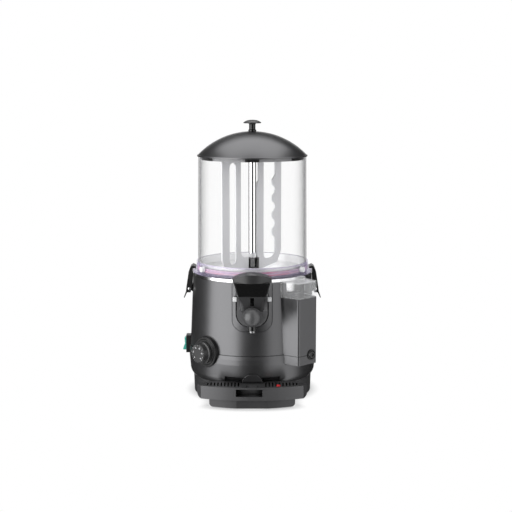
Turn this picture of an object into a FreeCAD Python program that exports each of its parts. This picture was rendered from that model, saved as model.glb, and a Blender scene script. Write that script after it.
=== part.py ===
"""Hot chocolate dispenser: a heated, stirred clear tank on a round body with a tap and a drip tray.

Millimetres, +Z up, the tap looks along -Y. The tank axis stands at x = 0. Each piece is drawn about
that axis in its own frame, where -Y points out of the machine, and is then turned to its azimuth
and moved so that the origin lies under the middle of the whole machine.
"""
import FreeCAD
import Part
import math
import os
import Sketcher

Vector = FreeCAD.Vector

SIZES = {
    # fits
    "fit_gap": 0.2, "moving_gap": 0.3, "running_gap": 0.05, "wall": 2.5, "draft": 2,
    # pedestal, tongue and feet
    "foot_height": 3, "foot_radius": 9, "foot_spread_x": 78, "foot_spread_y": 66,
    "base_lift": 1.5, "skirt_foot_radius": 125.3, "skirt_head_radius": 127.3, "skirt_top": 60,
    "deck_top": 33, "deck_inner_radius": 84, "cover_thickness": 1.2,
    "tongue_top": 20, "tongue_half": 90, "tongue_reach": 165.7, "tongue_front_radius": 198,
    "tongue_back": 100, "tongue_round": 7, "deck_screw_circle": 98, "deck_screw_radius": 2,
    "screw_head_radius": 4, "screw_head_height": 2.6, "deck_boss_top": 42, "deck_boss_radius": 5,
    # lower and upper shell
    "bowl_round": 22, "bowl_round_top": 55, "bowl_side_radius": 133.5, "belly_radius": 135.9,
    "belly_low": 82, "belly_high": 93, "lower_rim_radius": 134.4, "seam": 101,
    "upper_foot_radius": 133.2, "upper_head_radius": 126.5, "shell_top": 253, "top_flange": 6.5,
    "ledge_top": 96.6, "ledge_depth": 5, "ledge_height": 3, "seam_gap": 0.6,
    "notch_half": 57, "notch_top": 57, "notch_depth": 24, "lip_radius": 22, "lip_centre": 42.3,
    "lip_reach": 137,
    # tap pad on the upper shell
    "pad_half": 40.4, "pad_bottom": 154, "pad_corner": 22, "pad_relief": 2.5,
    "groove_width": 1, "groove_depth": 0.7,
    "recess_half": 33.7, "recess_bottom": 163, "recess_corner": 27, "recess_depth": 3,
    "gap_width": 2.3, "gap_depth": 2.1,
    # water box
    "box_azimuth": 43.3, "box_half": 26.4, "box_flare": 0.2, "box_reach": 166.5,
    "box_foot": 82, "box_head": 221,
    "box_corner": 5, "basin_depth": 12, "filler_height": 216, "filler_radius": 6,
    "filler_top": 254, "filler_knob_top": 264, "filler_knob_radius": 9, "filler_lip": 6,
    "bath_window_half": 21, "bath_window_foot": 227, "bath_window_top": 249.6,
    # drain
    "drain_offset": 10.4, "drain_height": 101.5, "drain_radius": 10.5, "drain_bore": 5,
    "drain_pipe_radius": 4, "drain_drop_radius": 88, "drain_bend": 24,
    # water bath bowl
    "bath_rim_radius": 125.5, "bath_rim_top": 259.3, "bath_inner_radius": 116.5,
    "bath_sheet": 1.5, "bath_floor": 205, "bath_floor_radius": 104, "bath_shoulder": 215,
    # tank
    "tank_foot_radius": 116.4, "tank_head_radius": 114.3, "tank_wall": 3, "tank_top": 503.8,
    "collar_radius": 127, "collar_shelf": 266, "collar_neck_radius": 119.2, "collar_top": 282,
    "seal_bottom": 265.5, "seal_top": 274, "seal_radius": 118.2, "peg_radius": 5.7, "peg_reach": 126.5,
    "peg_height": 271.5, "peg_azimuth": 58, "pan_rim": 281.5, "pan_side": 266, "pan_bend": 101,
    "pan_bend_height": 258.5, "pan_middle": 252, "pan_sheet": 2, "pan_flat": 17,
    # column, shaft and paddle
    "column_radius": 8, "column_wall": 2, "column_foot": 236, "column_top": 497,
    "ferrule_radius": 10, "ferrule_top": 288, "nut_radius": 13, "nut_height": 10,
    "shaft_radius": 4, "shaft_foot": 88, "shaft_top": 508,
    "guide_radius": 14.5, "guide_foot": 253, "guide_top": 287, "guide_window_half": 9,
    "guide_window_foot": 268, "hub_radius": 13.5, "hub_foot": 497.4, "hub_top": 512,
    "paddle_turn": 52.6, "paddle_half": 103, "paddle_sheet": 3, "paddle_top": 503.5,
    "window_top": 493, "window_foot": 280, "outer_slot_far": 79, "outer_slot_near": 57,
    "inner_gap_far": 41, "inner_gap_foot": 290, "inner_gap_round": 16, "step_height": 445,
    "right_gap_top": 20, "right_gap_low": 14.7, "right_slot_near": 38, "right_slot_far": 80,
    "right_half": 102, "wave_pitch": 36.3, "wave_depth": 11, "wave_first": 336,
    "paddle_side_foot": 292, "paddle_bevel": 268, "paddle_bevel_half": 88, "paddle_foot": 257,
    # drive
    "gear_module": 1.5, "gear_teeth": 48, "pinion_teeth": 12, "gear_face": 12, "gear_foot": 101.5,
    "plate_sheet": 1.5, "motor_radius": 30, "motor_foot": 46, "motor_shaft": 3,
    "bush_radius": 7, "bush_flange": 11, "bush_depth": 9, "bush_flange_height": 1.8,
    "gear_hub_radius": 10, "gear_hub_height": 8,
    # heating
    "heater_ring": 72, "heater_wire": 4,
    # lid
    "dome_radius": 159, "dome_top": 556, "dome_sheet": 2, "lid_rim_radius": 116.4,
    "lid_rim_inner": 112.6, "lid_rim_top": 508.2, "ring_radius": 109.3, "ring_sheet": 1.8,
    "ring_foot": 497.7, "lug_radius": 110.9, "lug_span": 24, "front_lug_span": 15, "lug_azimuth": 60,
    "stem_radius": 6.75, "knob_radius": 19, "knob_foot": 573, "knob_top": 580, "lid_screw_radius": 2.5,
    # tap
    "valve_reach": 146, "valve_radius": 7.5, "valve_bore": 5.5, "valve_foot": 163, "valve_top": 272,
    "neck_height": 266.5, "neck_radius": 6.5, "neck_bore": 4.2, "neck_start": 110.5,
    "seat_top": 172, "spring_seat": 258.2, "head_height": 10, "rod_radius": 2.5, "rod_top": 262,
    "collar_foot": 222.9, "collar_height": 3, "nozzle_radius": 9, "nozzle_foot": 159,
    "nozzle_top": 168, "spout_radius": 6, "spout_foot": 154.5, "spout_slit": 2.4,
    "cover_top": 259.8, "cover_break": 231.5, "cover_foot": 207, "cover_top_half": 37,
    "cover_break_half": 28.5, "cover_foot_half": 13.5, "cover_depth": 11, "cover_break_step": 6,
    "cover_top_step": 7, "cover_back_step": 5.5, "cover_wall": 2.2,
    "plate_thick": 2, "plate_inset": 1.5, "cap_half": 39.5, "cap_top": 277, "cap_shoulder": 267,
    "cap_overhang": 4, "cap_bulge": 17, "cap_back_step": 14, "cheek_thick": 2.6, "slot_half": 3.8,
    "slot_top": 229, "slot_bottom": 212,
    "pivot_reach": 134.5, "pivot_height": 221, "pivot_radius": 2, "eye_radius": 4.6,
    "arm_inner": 24.6, "arm_outer": 31, "arm_thick": 4.7, "lever_front": 160.5, "lever_foot": 170,
    "lever_cross": 199, "lever_corner": 26, "boss_radius": 4.8, "boss_width": 8.2,
    "boss_round": 5.7, "boss_step": 1.2,
    "ball_radius": 19.8, "ball_reach": 174.5, "ball_height": 192, "ball_stub": 5,
    "tine_outer": 4.8, "tine_inner": 2.8, "tine_reach": 148, "tine_thick": 3, "bar_radius": 3.2,
    # latches
    "latch_half": 16, "latch_sheet": 2.6, "latch_pivot_reach": 134.6, "latch_pivot_height": 222,
    "latch_pin_radius": 2, "latch_hook": 120.6, "bracket_half": 8.5, "ear_thick": 3,
    # thermostat and switch
    "dial_azimuth": -45, "dial_height": 103, "bezel_radius": 32, "bezel_reach": 141,
    "bezel_step": 26, "dial_radius": 20, "dial_reach": 160, "dial_skirt": 22.5, "spindle_radius": 3,
    "spindle_hole": 5, "regulator_half": 17, "regulator_front": 125, "regulator_back": 104,
    "switch_height": 100.5, "switch_half_height": 18.5, "switch_half_width": 12,
    "switch_reach": 142.6, "switch_wall": 3, "rocker_reach": 147.6, "rocker_tip": 150,
    "rocker_pivot": 138, "rocker_half": 13.2, "rocker_pin": 1.2, "housing_back": 108,
    # drip tray
    "tray_foot": 20.3, "tray_top": 47, "tray_reach": 178, "tray_front_radius": 283,
    "tray_half": 112.5, "tray_corner_half": 104.6, "tray_side_reach": 144, "tray_back": 122.5,
    "tray_back_half": 88, "tray_clear": 1, "tray_round": 9, "tray_wall": 3.6, "tray_rim": 1.6,
    "tray_floor": 3, "grid_sheet": 2, "grip_half": 27, "grip_shift": -6, "grip_foot": 28.2,
    "grip_roof": 1.2, "grip_depth": 20, "slot_width": 3, "slot_pitch": 7, "slot_margin": 6,
    "float_x": 53.5, "float_reach": 160, "float_radius": 4, "float_top": 49,
    # rear
    "gland_radius": 8, "gland_height": 70, "gland_length": 8,
}

doc = FreeCAD.newDocument("ChocolateDispenser")
sheet = doc.addObject("Spreadsheet::Sheet", "Sizes")
for row, (alias, number) in enumerate(SIZES.items(), start=1):
    sheet.set(f"A{row}", alias)
    sheet.set(f"B{row}", str(number))
    sheet.setAlias(f"B{row}", alias)
doc.recompute()


class Size:
    """A length that knows its number and the sheet expression that gives it."""

    def __init__(self, text, number):
        self.text = text
        self.number = number

    def __add__(self, other):
        other = sized(other)
        return Size(f"({self.text} + {other.text})", self.number + other.number)

    def __sub__(self, other):
        other = sized(other)
        return Size(f"({self.text} - {other.text})", self.number - other.number)

    def __mul__(self, other):
        other = sized(other)
        return Size(f"({self.text} * {other.text})", self.number * other.number)

    def __truediv__(self, other):
        other = sized(other)
        return Size(f"({self.text} / {other.text})", self.number / other.number)

    def __neg__(self):
        return Size(f"(0 - {self.text})", -self.number)

    def __radd__(self, other):
        return sized(other) + self

    def __rsub__(self, other):
        return sized(other) - self

    def __rmul__(self, other):
        return sized(other) * self


def sized(value):
    return value if isinstance(value, Size) else Size(str(value), float(value))


def root(size):
    return Size(f"sqrt({size.text})", math.sqrt(size.number))


def leg(long_side, short_side):
    """The other short side of a right triangle."""
    return root(long_side * long_side - short_side * short_side)


class Sheet:
    """Gives each alias of the spreadsheet as a Size."""

    def __getattr__(self, alias):
        return Size(f"Sizes.{alias}", float(SIZES[alias]))


s = Sheet()
machine_reach = s.ball_reach + s.ball_radius
rear_reach = s.belly_radius + s.gland_length
axis_shift = (machine_reach - rear_reach) / 2
cover_foot_reach = s.valve_reach + s.cover_depth
cover_break_reach = cover_foot_reach + s.cover_break_step
cover_top_reach = cover_break_reach + s.cover_top_step
cover_back = s.valve_reach - s.cover_back_step
cap_reach = cover_top_reach + s.cap_overhang
cap_side_reach = cap_reach - s.cap_bulge
cap_back = s.valve_reach - s.cap_back_step
pieces = []


# ---------------------------------------------------------------- drawing helpers

def bind(thing, path, size):
    thing.setExpression(path, sized(size).text)


def place(thing, height=0, turn=0):
    """Turns a piece about the tank axis, lifts it and moves it to the shared frame."""
    height, turn = sized(height), sized(turn)
    spin = FreeCAD.Rotation(Vector(0, 0, 1), turn.number)
    thing.Placement = FreeCAD.Placement(Vector(0, axis_shift.number, height.number), spin)
    bind(thing, "Placement.Base.y", axis_shift)
    bind(thing, "Placement.Base.z", height)
    if turn.number:
        bind(thing, "Placement.Rotation.Angle", turn)


def new_body(name, height=0, turn=0):
    body = doc.addObject("PartDesign::Body", name)
    place(body, height, turn)
    return body


def new_sketch(body, plane, offset=0):
    """A sketch on one of the body's origin planes, moved along the plane's normal."""
    sketch = body.newObject("Sketcher::SketchObject", body.Name + "_sketch")
    face = [item for item in body.Origin.OriginFeatures if item.Role == plane][0]
    sketch.AttachmentSupport = [(face, "")]
    sketch.MapMode = "FlatFace"
    bind(sketch, "AttachmentOffset.Base.z", offset)
    return sketch


def arc_between(start, end, radius):
    """The short arc between two points; a positive radius turns left on the way."""
    chord = end - start
    middle = (start + end) * 0.5
    left = Vector(-chord.y, chord.x, 0).normalize()
    rise = math.sqrt(max(radius * radius - chord.Length ** 2 / 4, 0))
    centre = middle + left * math.copysign(rise, radius)
    first, last = (start, end) if radius > 0 else (end, start)
    begin = math.atan2(first.y - centre.y, first.x - centre.x)
    finish = math.atan2(last.y - centre.y, last.x - centre.x)
    circle = Part.Circle(centre, Vector(0, 0, 1), abs(radius))
    return Part.ArcOfCircle(circle, begin, finish)


def draw_loop(sketch, corners):
    """Draws a closed loop. A corner is (across, up) or (across, up, radius of the arc that follows)."""
    corners = [tuple(sized(value) for value in corner) for corner in corners]
    points = [Vector(corner[0].number, corner[1].number, 0) for corner in corners]
    count = len(corners)
    first = sketch.GeometryCount
    shapes = []
    starts = []
    ends = []
    for index, corner in enumerate(corners):
        start, end = points[index], points[(index + 1) % count]
        radius = corner[2].number if len(corner) > 2 else 0
        shapes.append(arc_between(start, end, radius) if radius else Part.LineSegment(start, end))
        starts.append(2 if radius < 0 else 1)
        ends.append(1 if radius < 0 else 2)
    sketch.addGeometry(shapes, False)
    for index, corner in enumerate(corners):
        follower = (index + 1) % count
        sketch.addConstraint(Sketcher.Constraint(
            "Coincident", first + index, ends[index], first + follower, starts[follower]))
        for kind, value in (("DistanceX", corner[0]), ("DistanceY", corner[1])):
            rule = sketch.addConstraint(Sketcher.Constraint(
                kind, -1, 1, first + index, starts[index], value.number))
            bind(sketch, f"Constraints[{rule}]", value)
        if len(corner) > 2 and corner[2].number:
            size = corner[2] if corner[2].number > 0 else -corner[2]
            rule = sketch.addConstraint(Sketcher.Constraint("Radius", first + index, size.number))
            bind(sketch, f"Constraints[{rule}]", size)


def draw_circle(sketch, across, up, radius):
    across, up, radius = sized(across), sized(up), sized(radius)
    spot = Vector(across.number, up.number, 0)
    item = sketch.addGeometry(Part.Circle(spot, Vector(0, 0, 1), radius.number), False)
    rules = (("DistanceX", across), ("DistanceY", up))
    for kind, value in rules:
        rule = sketch.addConstraint(Sketcher.Constraint(kind, -1, 1, item, 3, value.number))
        bind(sketch, f"Constraints[{rule}]", value)
    rule = sketch.addConstraint(Sketcher.Constraint("Radius", item, radius.number))
    bind(sketch, f"Constraints[{rule}]", radius)


def rectangle(left, low, right, high):
    return [(left, low), (right, low), (right, high), (left, high)]


def grow(body, kind, sketch, length=None, both=False, back=False):
    """Adds a Pad or a Pocket; both spreads it to the two sides of the sketch."""
    feature = body.newObject("PartDesign::" + kind, body.Name + "_" + kind.lower())
    feature.Profile = sketch
    if length is None:
        feature.Type = "ThroughAll"
    else:
        bind(feature, "Length", length)
    if both:
        feature.SideType = "Symmetric"
    feature.Reversed = back
    body.Tip = feature
    return feature


def revolve(body, sketch, axis="V_Axis", kind="Revolution"):
    feature = body.newObject("PartDesign::" + kind, body.Name + "_" + kind.lower())
    feature.Profile = sketch
    feature.ReferenceAxis = (sketch, [axis])
    body.Tip = feature
    return feature


def turned(name, corners, height=0, turn=0):
    """A body turned about the tank axis; corners are (radius, height)."""
    body = new_body(name, height, turn)
    sketch = new_sketch(body, "XZ_Plane")
    draw_loop(sketch, corners)
    revolve(body, sketch)
    return body


def radial(name, corners, height=0, turn=0):
    """A body turned about the outward axis; corners are (distance from the tank axis, radius)."""
    body = new_body(name, height, turn)
    sketch = new_sketch(body, "YZ_Plane")
    draw_loop(sketch, [(-sized(corner[0]),) + tuple(corner[1:]) for corner in corners])
    revolve(body, sketch, "H_Axis")
    return body


def plan(name, corners, low, high, turn=0):
    """A body padded upwards from a plan outline; corners are (across, out)."""
    body = new_body(name, 0, turn)
    sketch = new_sketch(body, "XY_Plane", low)
    draw_loop(sketch, [(corner[0], -sized(corner[1])) + tuple(corner[2:]) for corner in corners])
    grow(body, "Pad", sketch, sized(high) - low)
    return body


def front(name, corners, near, far, turn=0):
    """A body padded outwards from a front outline; corners are (across, height)."""
    body = new_body(name, 0, turn)
    sketch = new_sketch(body, "XZ_Plane", near)
    draw_loop(sketch, corners)
    grow(body, "Pad", sketch, sized(far) - near)
    return body


def side(name, corners, half, turn=0, height=0):
    """A body padded across from a side outline; corners are (out, height)."""
    body = new_body(name, height, turn)
    sketch = new_sketch(body, "YZ_Plane")
    draw_loop(sketch, [(-sized(corner[0]),) + tuple(corner[1:]) for corner in corners])
    grow(body, "Pad", sketch, sized(half) * 2, both=True)
    return body


def rod(name, radius, low, high, across=0, out=0, turn=0):
    """An upright Part cylinder."""
    item = doc.addObject("Part::Cylinder", name)
    bind(item, "Radius", radius)
    bind(item, "Height", sized(high) - low)
    return moved(item, across, out, low, turn)


def bar(name, radius, near, far, across=0, height=0, turn=0):
    """A Part cylinder that points out of the machine."""
    item = doc.addObject("Part::Cylinder", name)
    bind(item, "Radius", radius)
    bind(item, "Height", sized(far) - near)
    return moved(item, across, near, height, turn, Vector(1, 0, 0), 90)


def pin(name, radius, half, out, height, turn=0, start=None):
    """A Part cylinder that lies across the machine, centred unless a start is given."""
    item = doc.addObject("Part::Cylinder", name)
    length = sized(half) * 2
    bind(item, "Radius", radius)
    bind(item, "Height", length)
    left = -sized(half) if start is None else sized(start)
    return moved(item, left, out, height, turn, Vector(0, 1, 0), 90)


def block(name, half, near, far, low, high, turn=0, across=0):
    """A Part box between two distances from the tank axis."""
    item = doc.addObject("Part::Box", name)
    bind(item, "Length", sized(half) * 2)
    bind(item, "Width", sized(far) - near)
    bind(item, "Height", sized(high) - low)
    return moved(item, sized(across) - half, far, low, turn)


def moved(item, across, out, height, turn, axis=None, angle=0):
    """Places a primitive by its distance across, out and up, seen at an azimuth."""
    across, out, height, turn = sized(across), sized(out), sized(height), sized(turn)
    swing = math.radians(turn.number)
    spin = FreeCAD.Rotation(Vector(0, 0, 1), turn.number)
    tilt = FreeCAD.Rotation(axis, angle) if axis else FreeCAD.Rotation()
    spot = Vector(
        across.number * math.cos(swing) + out.number * math.sin(swing),
        across.number * math.sin(swing) - out.number * math.cos(swing) + axis_shift.number,
        height.number)
    item.Placement = FreeCAD.Placement(spot, spin.multiply(tilt))
    cosine, sine = f"cos({turn.text})", f"sin({turn.text})"
    easting = f"{across.text} * {cosine} + {out.text} * {sine}"
    northing = f"{across.text} * {sine} - {out.text} * {cosine} + {axis_shift.text}"
    item.setExpression("Placement.Base.x", easting)
    item.setExpression("Placement.Base.y", northing)
    bind(item, "Placement.Base.z", height)
    return item


def cut(name, base, *tools):
    """Takes the tools away from the base, one after the other."""
    for index, tool in enumerate(tools):
        result = doc.addObject("Part::Cut", f"{name}_cut{index}")
        result.Base = base
        result.Tool = tool
        base = result
    return base


def fuse(name, *parts):
    result = doc.addObject("Part::MultiFuse", name + "_fused")
    result.Shapes = list(parts)
    result.Refine = True
    return result


def common(name, *parts):
    result = doc.addObject("Part::MultiCommon", name + "_common")
    result.Shapes = list(parts)
    return result


def group(name, *parts):
    """Several separate solids of one kind, kept as one piece."""
    result = doc.addObject("Part::Compound", name + "_set")
    result.Links = list(parts)
    return result


def piece(name, thing):
    """Names the finished solid and puts it on the list to export."""
    if thing.Name != name:
        thing.Label = name
    pieces.append((name, thing))
    return thing


def coil(name, inner, outer, low, high, turns, across=0, out=0):
    """A spring drawn as a sleeve whose outer side is scalloped at each turn."""
    body = new_body(name)
    sketch = new_sketch(body, "XZ_Plane")
    pitch = (sized(high) - low) / turns
    corners = [(sized(inner), sized(low))]
    corners += [(sized(outer), low + pitch * index, pitch * 0.6) for index in range(turns)]
    corners += [(sized(outer), sized(high)), (sized(inner), sized(high))]
    draw_loop(sketch, corners)
    revolve(body, sketch)
    return body


# ---------------------------------------------------------------- outlines shared by several pieces

def lower_outline(grown=0):
    """The outside of the lower shell, from the bottom centre up to the seam."""
    low = s.deck_top - grown
    return [
        (0, low),
        (s.bowl_side_radius - s.bowl_round, low, s.bowl_round + grown),
        (s.bowl_side_radius + grown, s.bowl_round_top),
        (s.belly_radius + grown, s.belly_low),
        (s.belly_radius + grown, s.belly_high),
        (s.lower_rim_radius + grown, s.seam),
    ]


def upper_outline(grown=0):
    return [
        (s.upper_foot_radius + grown, s.seam + s.seam_gap),
        (s.upper_head_radius + grown, s.shell_top),
    ]


def envelope(name, grown):
    """The whole body as one solid, used to fit pieces against its outside."""
    corners = lower_outline(grown) + upper_outline(grown) + [(0, s.shell_top)]
    return turned(name, corners)


def u_shape(half, low, high, corner):
    return [
        (-half, high),
        (-half, low + corner, corner),
        (-half + corner, low),
        (half - corner, low, corner),
        (half, low + corner),
        (half, high),
    ]


# ---------------------------------------------------------------- base

def build_base():
    floor = s.base_lift
    skirt = turned("skirt", [
        (s.skirt_foot_radius - s.wall, floor),
        (s.skirt_foot_radius, floor),
        (s.skirt_head_radius, s.skirt_top),
        (s.skirt_head_radius - s.wall, s.skirt_top),
        (s.skirt_head_radius - s.wall, s.deck_top),
        (s.deck_inner_radius, s.deck_top),
        (s.deck_inner_radius, s.deck_top - s.wall),
        (s.skirt_foot_radius - s.wall, s.deck_top - s.wall),
    ])
    tongue_edge = s.tongue_half - s.draft
    outline = [
        (-tongue_edge, s.tongue_back),
        (-tongue_edge, s.tongue_reach - 17, s.tongue_front_radius),
        (tongue_edge, s.tongue_reach - 17),
        (tongue_edge, s.tongue_back),
    ]
    tongue = common("tongue", plan("tongue_plan", outline, floor, s.tongue_top),
                    front("tongue_front", u_shape(tongue_edge, floor, s.tongue_top, s.tongue_round),
                          s.tongue_back, s.tongue_reach + 1))
    inner_edge = tongue_edge - s.wall
    hollow = [
        (-inner_edge, s.tongue_back - s.wall),
        (-inner_edge, s.tongue_reach - 17 - s.wall, s.tongue_front_radius - s.wall),
        (inner_edge, s.tongue_reach - 17 - s.wall),
        (inner_edge, s.tongue_back - s.wall),
    ]
    well = plan("tongue_hollow", hollow, floor - 1, s.tongue_top - s.wall)
    inside = rod("tongue_trim", s.skirt_foot_radius - s.wall, floor - 1, s.tongue_top + 1)
    shelf = cut("tongue_shell", tongue, well, inside)
    holes = [
        rod(f"deck_hole{index}", s.deck_screw_radius + s.fit_gap, s.deck_top - 9, s.deck_top + 9,
            0, s.deck_screw_circle, 45 + 90 * index)
        for index in range(4)
    ]
    stop_front = s.tray_back - s.tray_clear
    stop = block("tray_stop", s.tray_back_half * 0.385, stop_front - s.wall, stop_front,
                 s.tongue_top - s.wall, s.deck_top)
    tray_room = block("tray_room", s.tray_back_half / 2, stop_front, s.tray_reach + 9,
                      s.tongue_top, s.tray_top + s.tray_clear)
    whole = fuse("base", skirt, shelf, stop)
    piece("base_pedestal", cut("base", whole, envelope("bowl_room", 0), tray_room, *holes))

    cover_low = s.foot_height
    cover = turned("bottom_plate", [
        (0, cover_low),
        (s.skirt_foot_radius - s.wall - s.fit_gap, cover_low),
        (s.skirt_foot_radius - s.wall - s.fit_gap, cover_low + s.cover_thickness),
        (0, cover_low + s.cover_thickness),
    ])
    piece("bottom_cover", cover)
    feet = [
        rod(f"foot{index}", s.foot_radius, 0, s.foot_height, s.foot_spread_x * across,
            s.foot_spread_y * out)
        for index, (across, out) in enumerate(((1, 1), (1, -1), (-1, 1), (-1, -1)))
    ]
    piece("rubber_feet", group("rubber_feet", *feet))
    screws = []
    for index in range(4):
        bearing = 45 + 90 * index
        low = s.deck_top - s.wall
        head = rod(f"deck_head{index}", s.screw_head_radius, low - s.screw_head_height, low,
                   0, s.deck_screw_circle, bearing)
        shank = rod(f"deck_shank{index}", s.deck_screw_radius, low, s.deck_boss_top,
                    0, s.deck_screw_circle, bearing)
        screws.append(fuse(f"deck_screw{index}", head, shank))
    piece("deck_screws", group("deck_screws", *screws))


# ---------------------------------------------------------------- shells

def water_box(name, low, high, shrink=0, near=s.ledge_top):
    """The plan of the water box, square to its own azimuth and flared towards the body."""
    lean = root(s.box_flare * s.box_flare + 1)
    reach = s.box_reach - shrink
    half = s.box_half + s.box_flare * shrink - lean * shrink
    corner = s.box_corner - shrink
    if corner.number <= 0.5:
        corner = sized(0.5)
    back = half + s.box_flare * (reach - near)
    round_back = reach - corner * 0.7
    side_edge = half + s.box_flare * corner * 0.7
    outline = [
        (-back, near),
        (-side_edge, round_back, corner),
        (-half + corner * 0.7, reach),
        (half - corner * 0.7, reach, corner),
        (side_edge, round_back),
        (back, near),
    ]
    return plan(name, outline, low, high, s.box_azimuth)


def build_lower_shell():
    outer = lower_outline()
    wall = s.wall
    inner_rim = s.lower_rim_radius - wall
    profile = outer + [
        (inner_rim, s.seam),
        (inner_rim, s.ledge_top),
        (inner_rim - s.ledge_depth, s.ledge_top),
        (inner_rim - s.ledge_depth, s.ledge_top - s.ledge_height),
        (s.belly_radius - wall, s.belly_high - s.ledge_height),
        (s.belly_radius - wall, s.belly_low),
        (s.bowl_side_radius - wall, s.bowl_round_top, -(s.bowl_round - wall)),
        (s.bowl_side_radius - s.bowl_round, s.deck_top + wall),
        (0, s.deck_top + wall),
    ]
    shell = turned("lower_wall", profile)
    pocket_back = s.bowl_side_radius - s.notch_depth
    pocket = block("tray_pocket", s.notch_half + wall, pocket_back - wall, s.belly_radius,
                   s.deck_top, s.notch_top + wall)
    pocket_inside = common("tray_pocket", pocket, envelope("pocket_room", 0))
    opening = block("tray_opening", s.notch_half, pocket_back, s.belly_radius + wall,
                    s.deck_top - 1, s.notch_top)
    lip = bar("tray_lip", s.lip_radius, pocket_back - 1, s.lip_reach, 0, s.lip_centre)
    lip_floor = block("lip_floor", s.lip_radius + 1, pocket_back - 2, s.belly_radius + 9,
                      0, s.tray_top + 1)
    lip_disc = cut("lip", lip, lip_floor)
    box_outer = cut("lower_box_skin", water_box("lower_box", s.box_foot, s.seam),
                    envelope("lower_box_core", -1.5))
    box_room = cut("lower_box_room", water_box("lower_box_hollow", s.box_foot + wall, s.seam + 1, wall),
                   envelope("lower_box_back", 0))
    bosses = [
        rod(f"boss{index}", s.deck_boss_radius, s.deck_top + wall, s.deck_boss_top,
            0, s.deck_screw_circle, 45 + 90 * index)
        for index in range(4)
    ]
    holes = [
        rod(f"boss_hole{index}", s.deck_screw_radius + s.fit_gap, s.deck_top - 1, s.deck_boss_top + 1,
            0, s.deck_screw_circle, 45 + 90 * index)
        for index in range(4)
    ]
    body = fuse("lower", shell, pocket_inside, box_outer, *bosses)
    hollowed = cut("lower", body, opening, box_room, *holes, *side_holes("lower"))
    piece("lower_shell", fuse("lower_shell", hollowed, lip_disc))


def side_holes(name):
    """Holes that straddle the seam: dial spindle, switch housing, drain and mains gland."""
    return [
        bar(name + "_spindle_hole", s.spindle_hole, s.regulator_front, s.belly_radius + 9,
            0, s.dial_height, s.dial_azimuth),
        block(name + "_switch_hole", s.switch_half_width - s.switch_wall + s.fit_gap, s.housing_back,
              s.belly_radius + 9, s.switch_height - s.switch_half_height + s.switch_wall - s.fit_gap,
              s.switch_height + s.switch_half_height - s.switch_wall + s.fit_gap, -90),
        bar(name + "_drain_hole", s.drain_pipe_radius + s.fit_gap, s.drain_drop_radius + s.drain_bend,
            s.box_reach + 9, s.drain_offset, s.drain_height, s.box_azimuth),
        bar(name + "_gland_hole", s.gland_radius - s.wall + s.fit_gap, s.belly_radius - 20,
            s.belly_radius + 9, 0, s.gland_height, 180),
    ]


def build_upper_shell():
    wall = s.wall
    foot = s.seam + s.seam_gap
    profile = upper_outline() + [
        (s.upper_head_radius - s.top_flange, s.shell_top),
        (s.upper_head_radius - s.top_flange, s.shell_top - wall),
        (s.upper_head_radius - wall, s.shell_top - wall),
        (s.upper_foot_radius - wall, foot),
    ]
    shell = turned("upper_wall", profile)
    pad_prism = front("pad_prism", u_shape(s.pad_half, s.pad_bottom, s.shell_top, s.pad_corner),
                      s.upper_head_radius - 30, s.upper_head_radius + 30)
    pad_band = turned("pad_band", [
        (s.upper_foot_radius - 1, foot),
        (s.upper_foot_radius + s.pad_relief, foot),
        (s.upper_head_radius + s.pad_relief, s.shell_top),
        (s.upper_head_radius - 1, s.shell_top),
    ])
    recess_prism = front(
        "recess_prism", u_shape(s.recess_half, s.recess_bottom, s.shell_top + 1, s.recess_corner),
        s.upper_head_radius - 30, s.upper_head_radius + 30)
    floor_shift = s.pad_relief - s.recess_depth
    recess_band = turned("recess_band", [
        (s.upper_foot_radius + floor_shift, foot),
        (s.upper_foot_radius + 9, foot),
        (s.upper_foot_radius + 9, s.shell_top + 1),
        (s.upper_head_radius + floor_shift, s.shell_top + 1),
    ])
    box_outer = cut("upper_box_skin", water_box("upper_box", foot, s.box_head),
                    envelope("upper_box_core", -1.5))
    basin_floor = s.box_head - s.basin_depth
    box_room = cut("upper_box_room",
                   water_box("upper_box_hollow", foot - 1, basin_floor - wall, wall),
                   envelope("upper_box_back", 0))
    basin = cut("basin_room", water_box("basin_hollow", basin_floor, s.box_head + 1, wall),
                envelope("basin_back", 0))
    filler_hole = bar("filler_hole", s.filler_radius + s.fit_gap, s.upper_head_radius - 12,
                      s.upper_foot_radius + 9, 0, s.filler_height, s.box_azimuth)
    bath_window = block("bath_window", s.bath_window_half, s.bath_inner_radius - 4,
                        s.upper_foot_radius + 3, s.bath_window_foot, s.bath_window_top, s.box_azimuth)
    body = fuse("upper", shell, common("tap_pad", pad_prism, pad_band), box_outer)
    recess = common("tap_recess", recess_prism, recess_band)
    piece("upper_shell", cut("upper", body, recess, pad_groove(), lever_gap(), box_room, basin,
                             filler_hole, bath_window, *side_holes("upper")))


def lever_gap():
    """Deep gap round the inside edge of the recess, beside the lever's arms."""
    near, far = s.upper_head_radius - 30, s.upper_head_radius + 30
    wide = s.gap_width
    inner = front("gap_inner", u_shape(s.recess_half - wide, s.recess_bottom + wide, s.shell_top + 2,
                                       s.recess_corner - wide), near - 1, far + 1)
    outer = front("gap_outer", u_shape(s.recess_half - 0.1, s.recess_bottom + 0.1,
                                       s.shell_top - s.wall * 2, s.recess_corner - 0.1), near, far)
    return cut("lever_gap", outer, inner, envelope("gap_floor", -s.gap_depth))


def pad_groove():
    """Shadow line cut into the shell along the edge of the tap pad."""
    near, far = s.upper_head_radius - 30, s.upper_head_radius + 30
    wide = s.groove_width
    inner = front("groove_inner", u_shape(s.pad_half + 0.15, s.pad_bottom - 0.15, s.shell_top + 2,
                                          s.pad_corner + 0.15), near - 1, far + 1)
    outer = front("groove_outer", u_shape(s.pad_half + wide, s.pad_bottom - wide,
                                          s.shell_top - s.wall, s.pad_corner + wide), near, far)
    return cut("pad_groove", outer, inner, envelope("groove_floor", -s.groove_depth))


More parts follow.
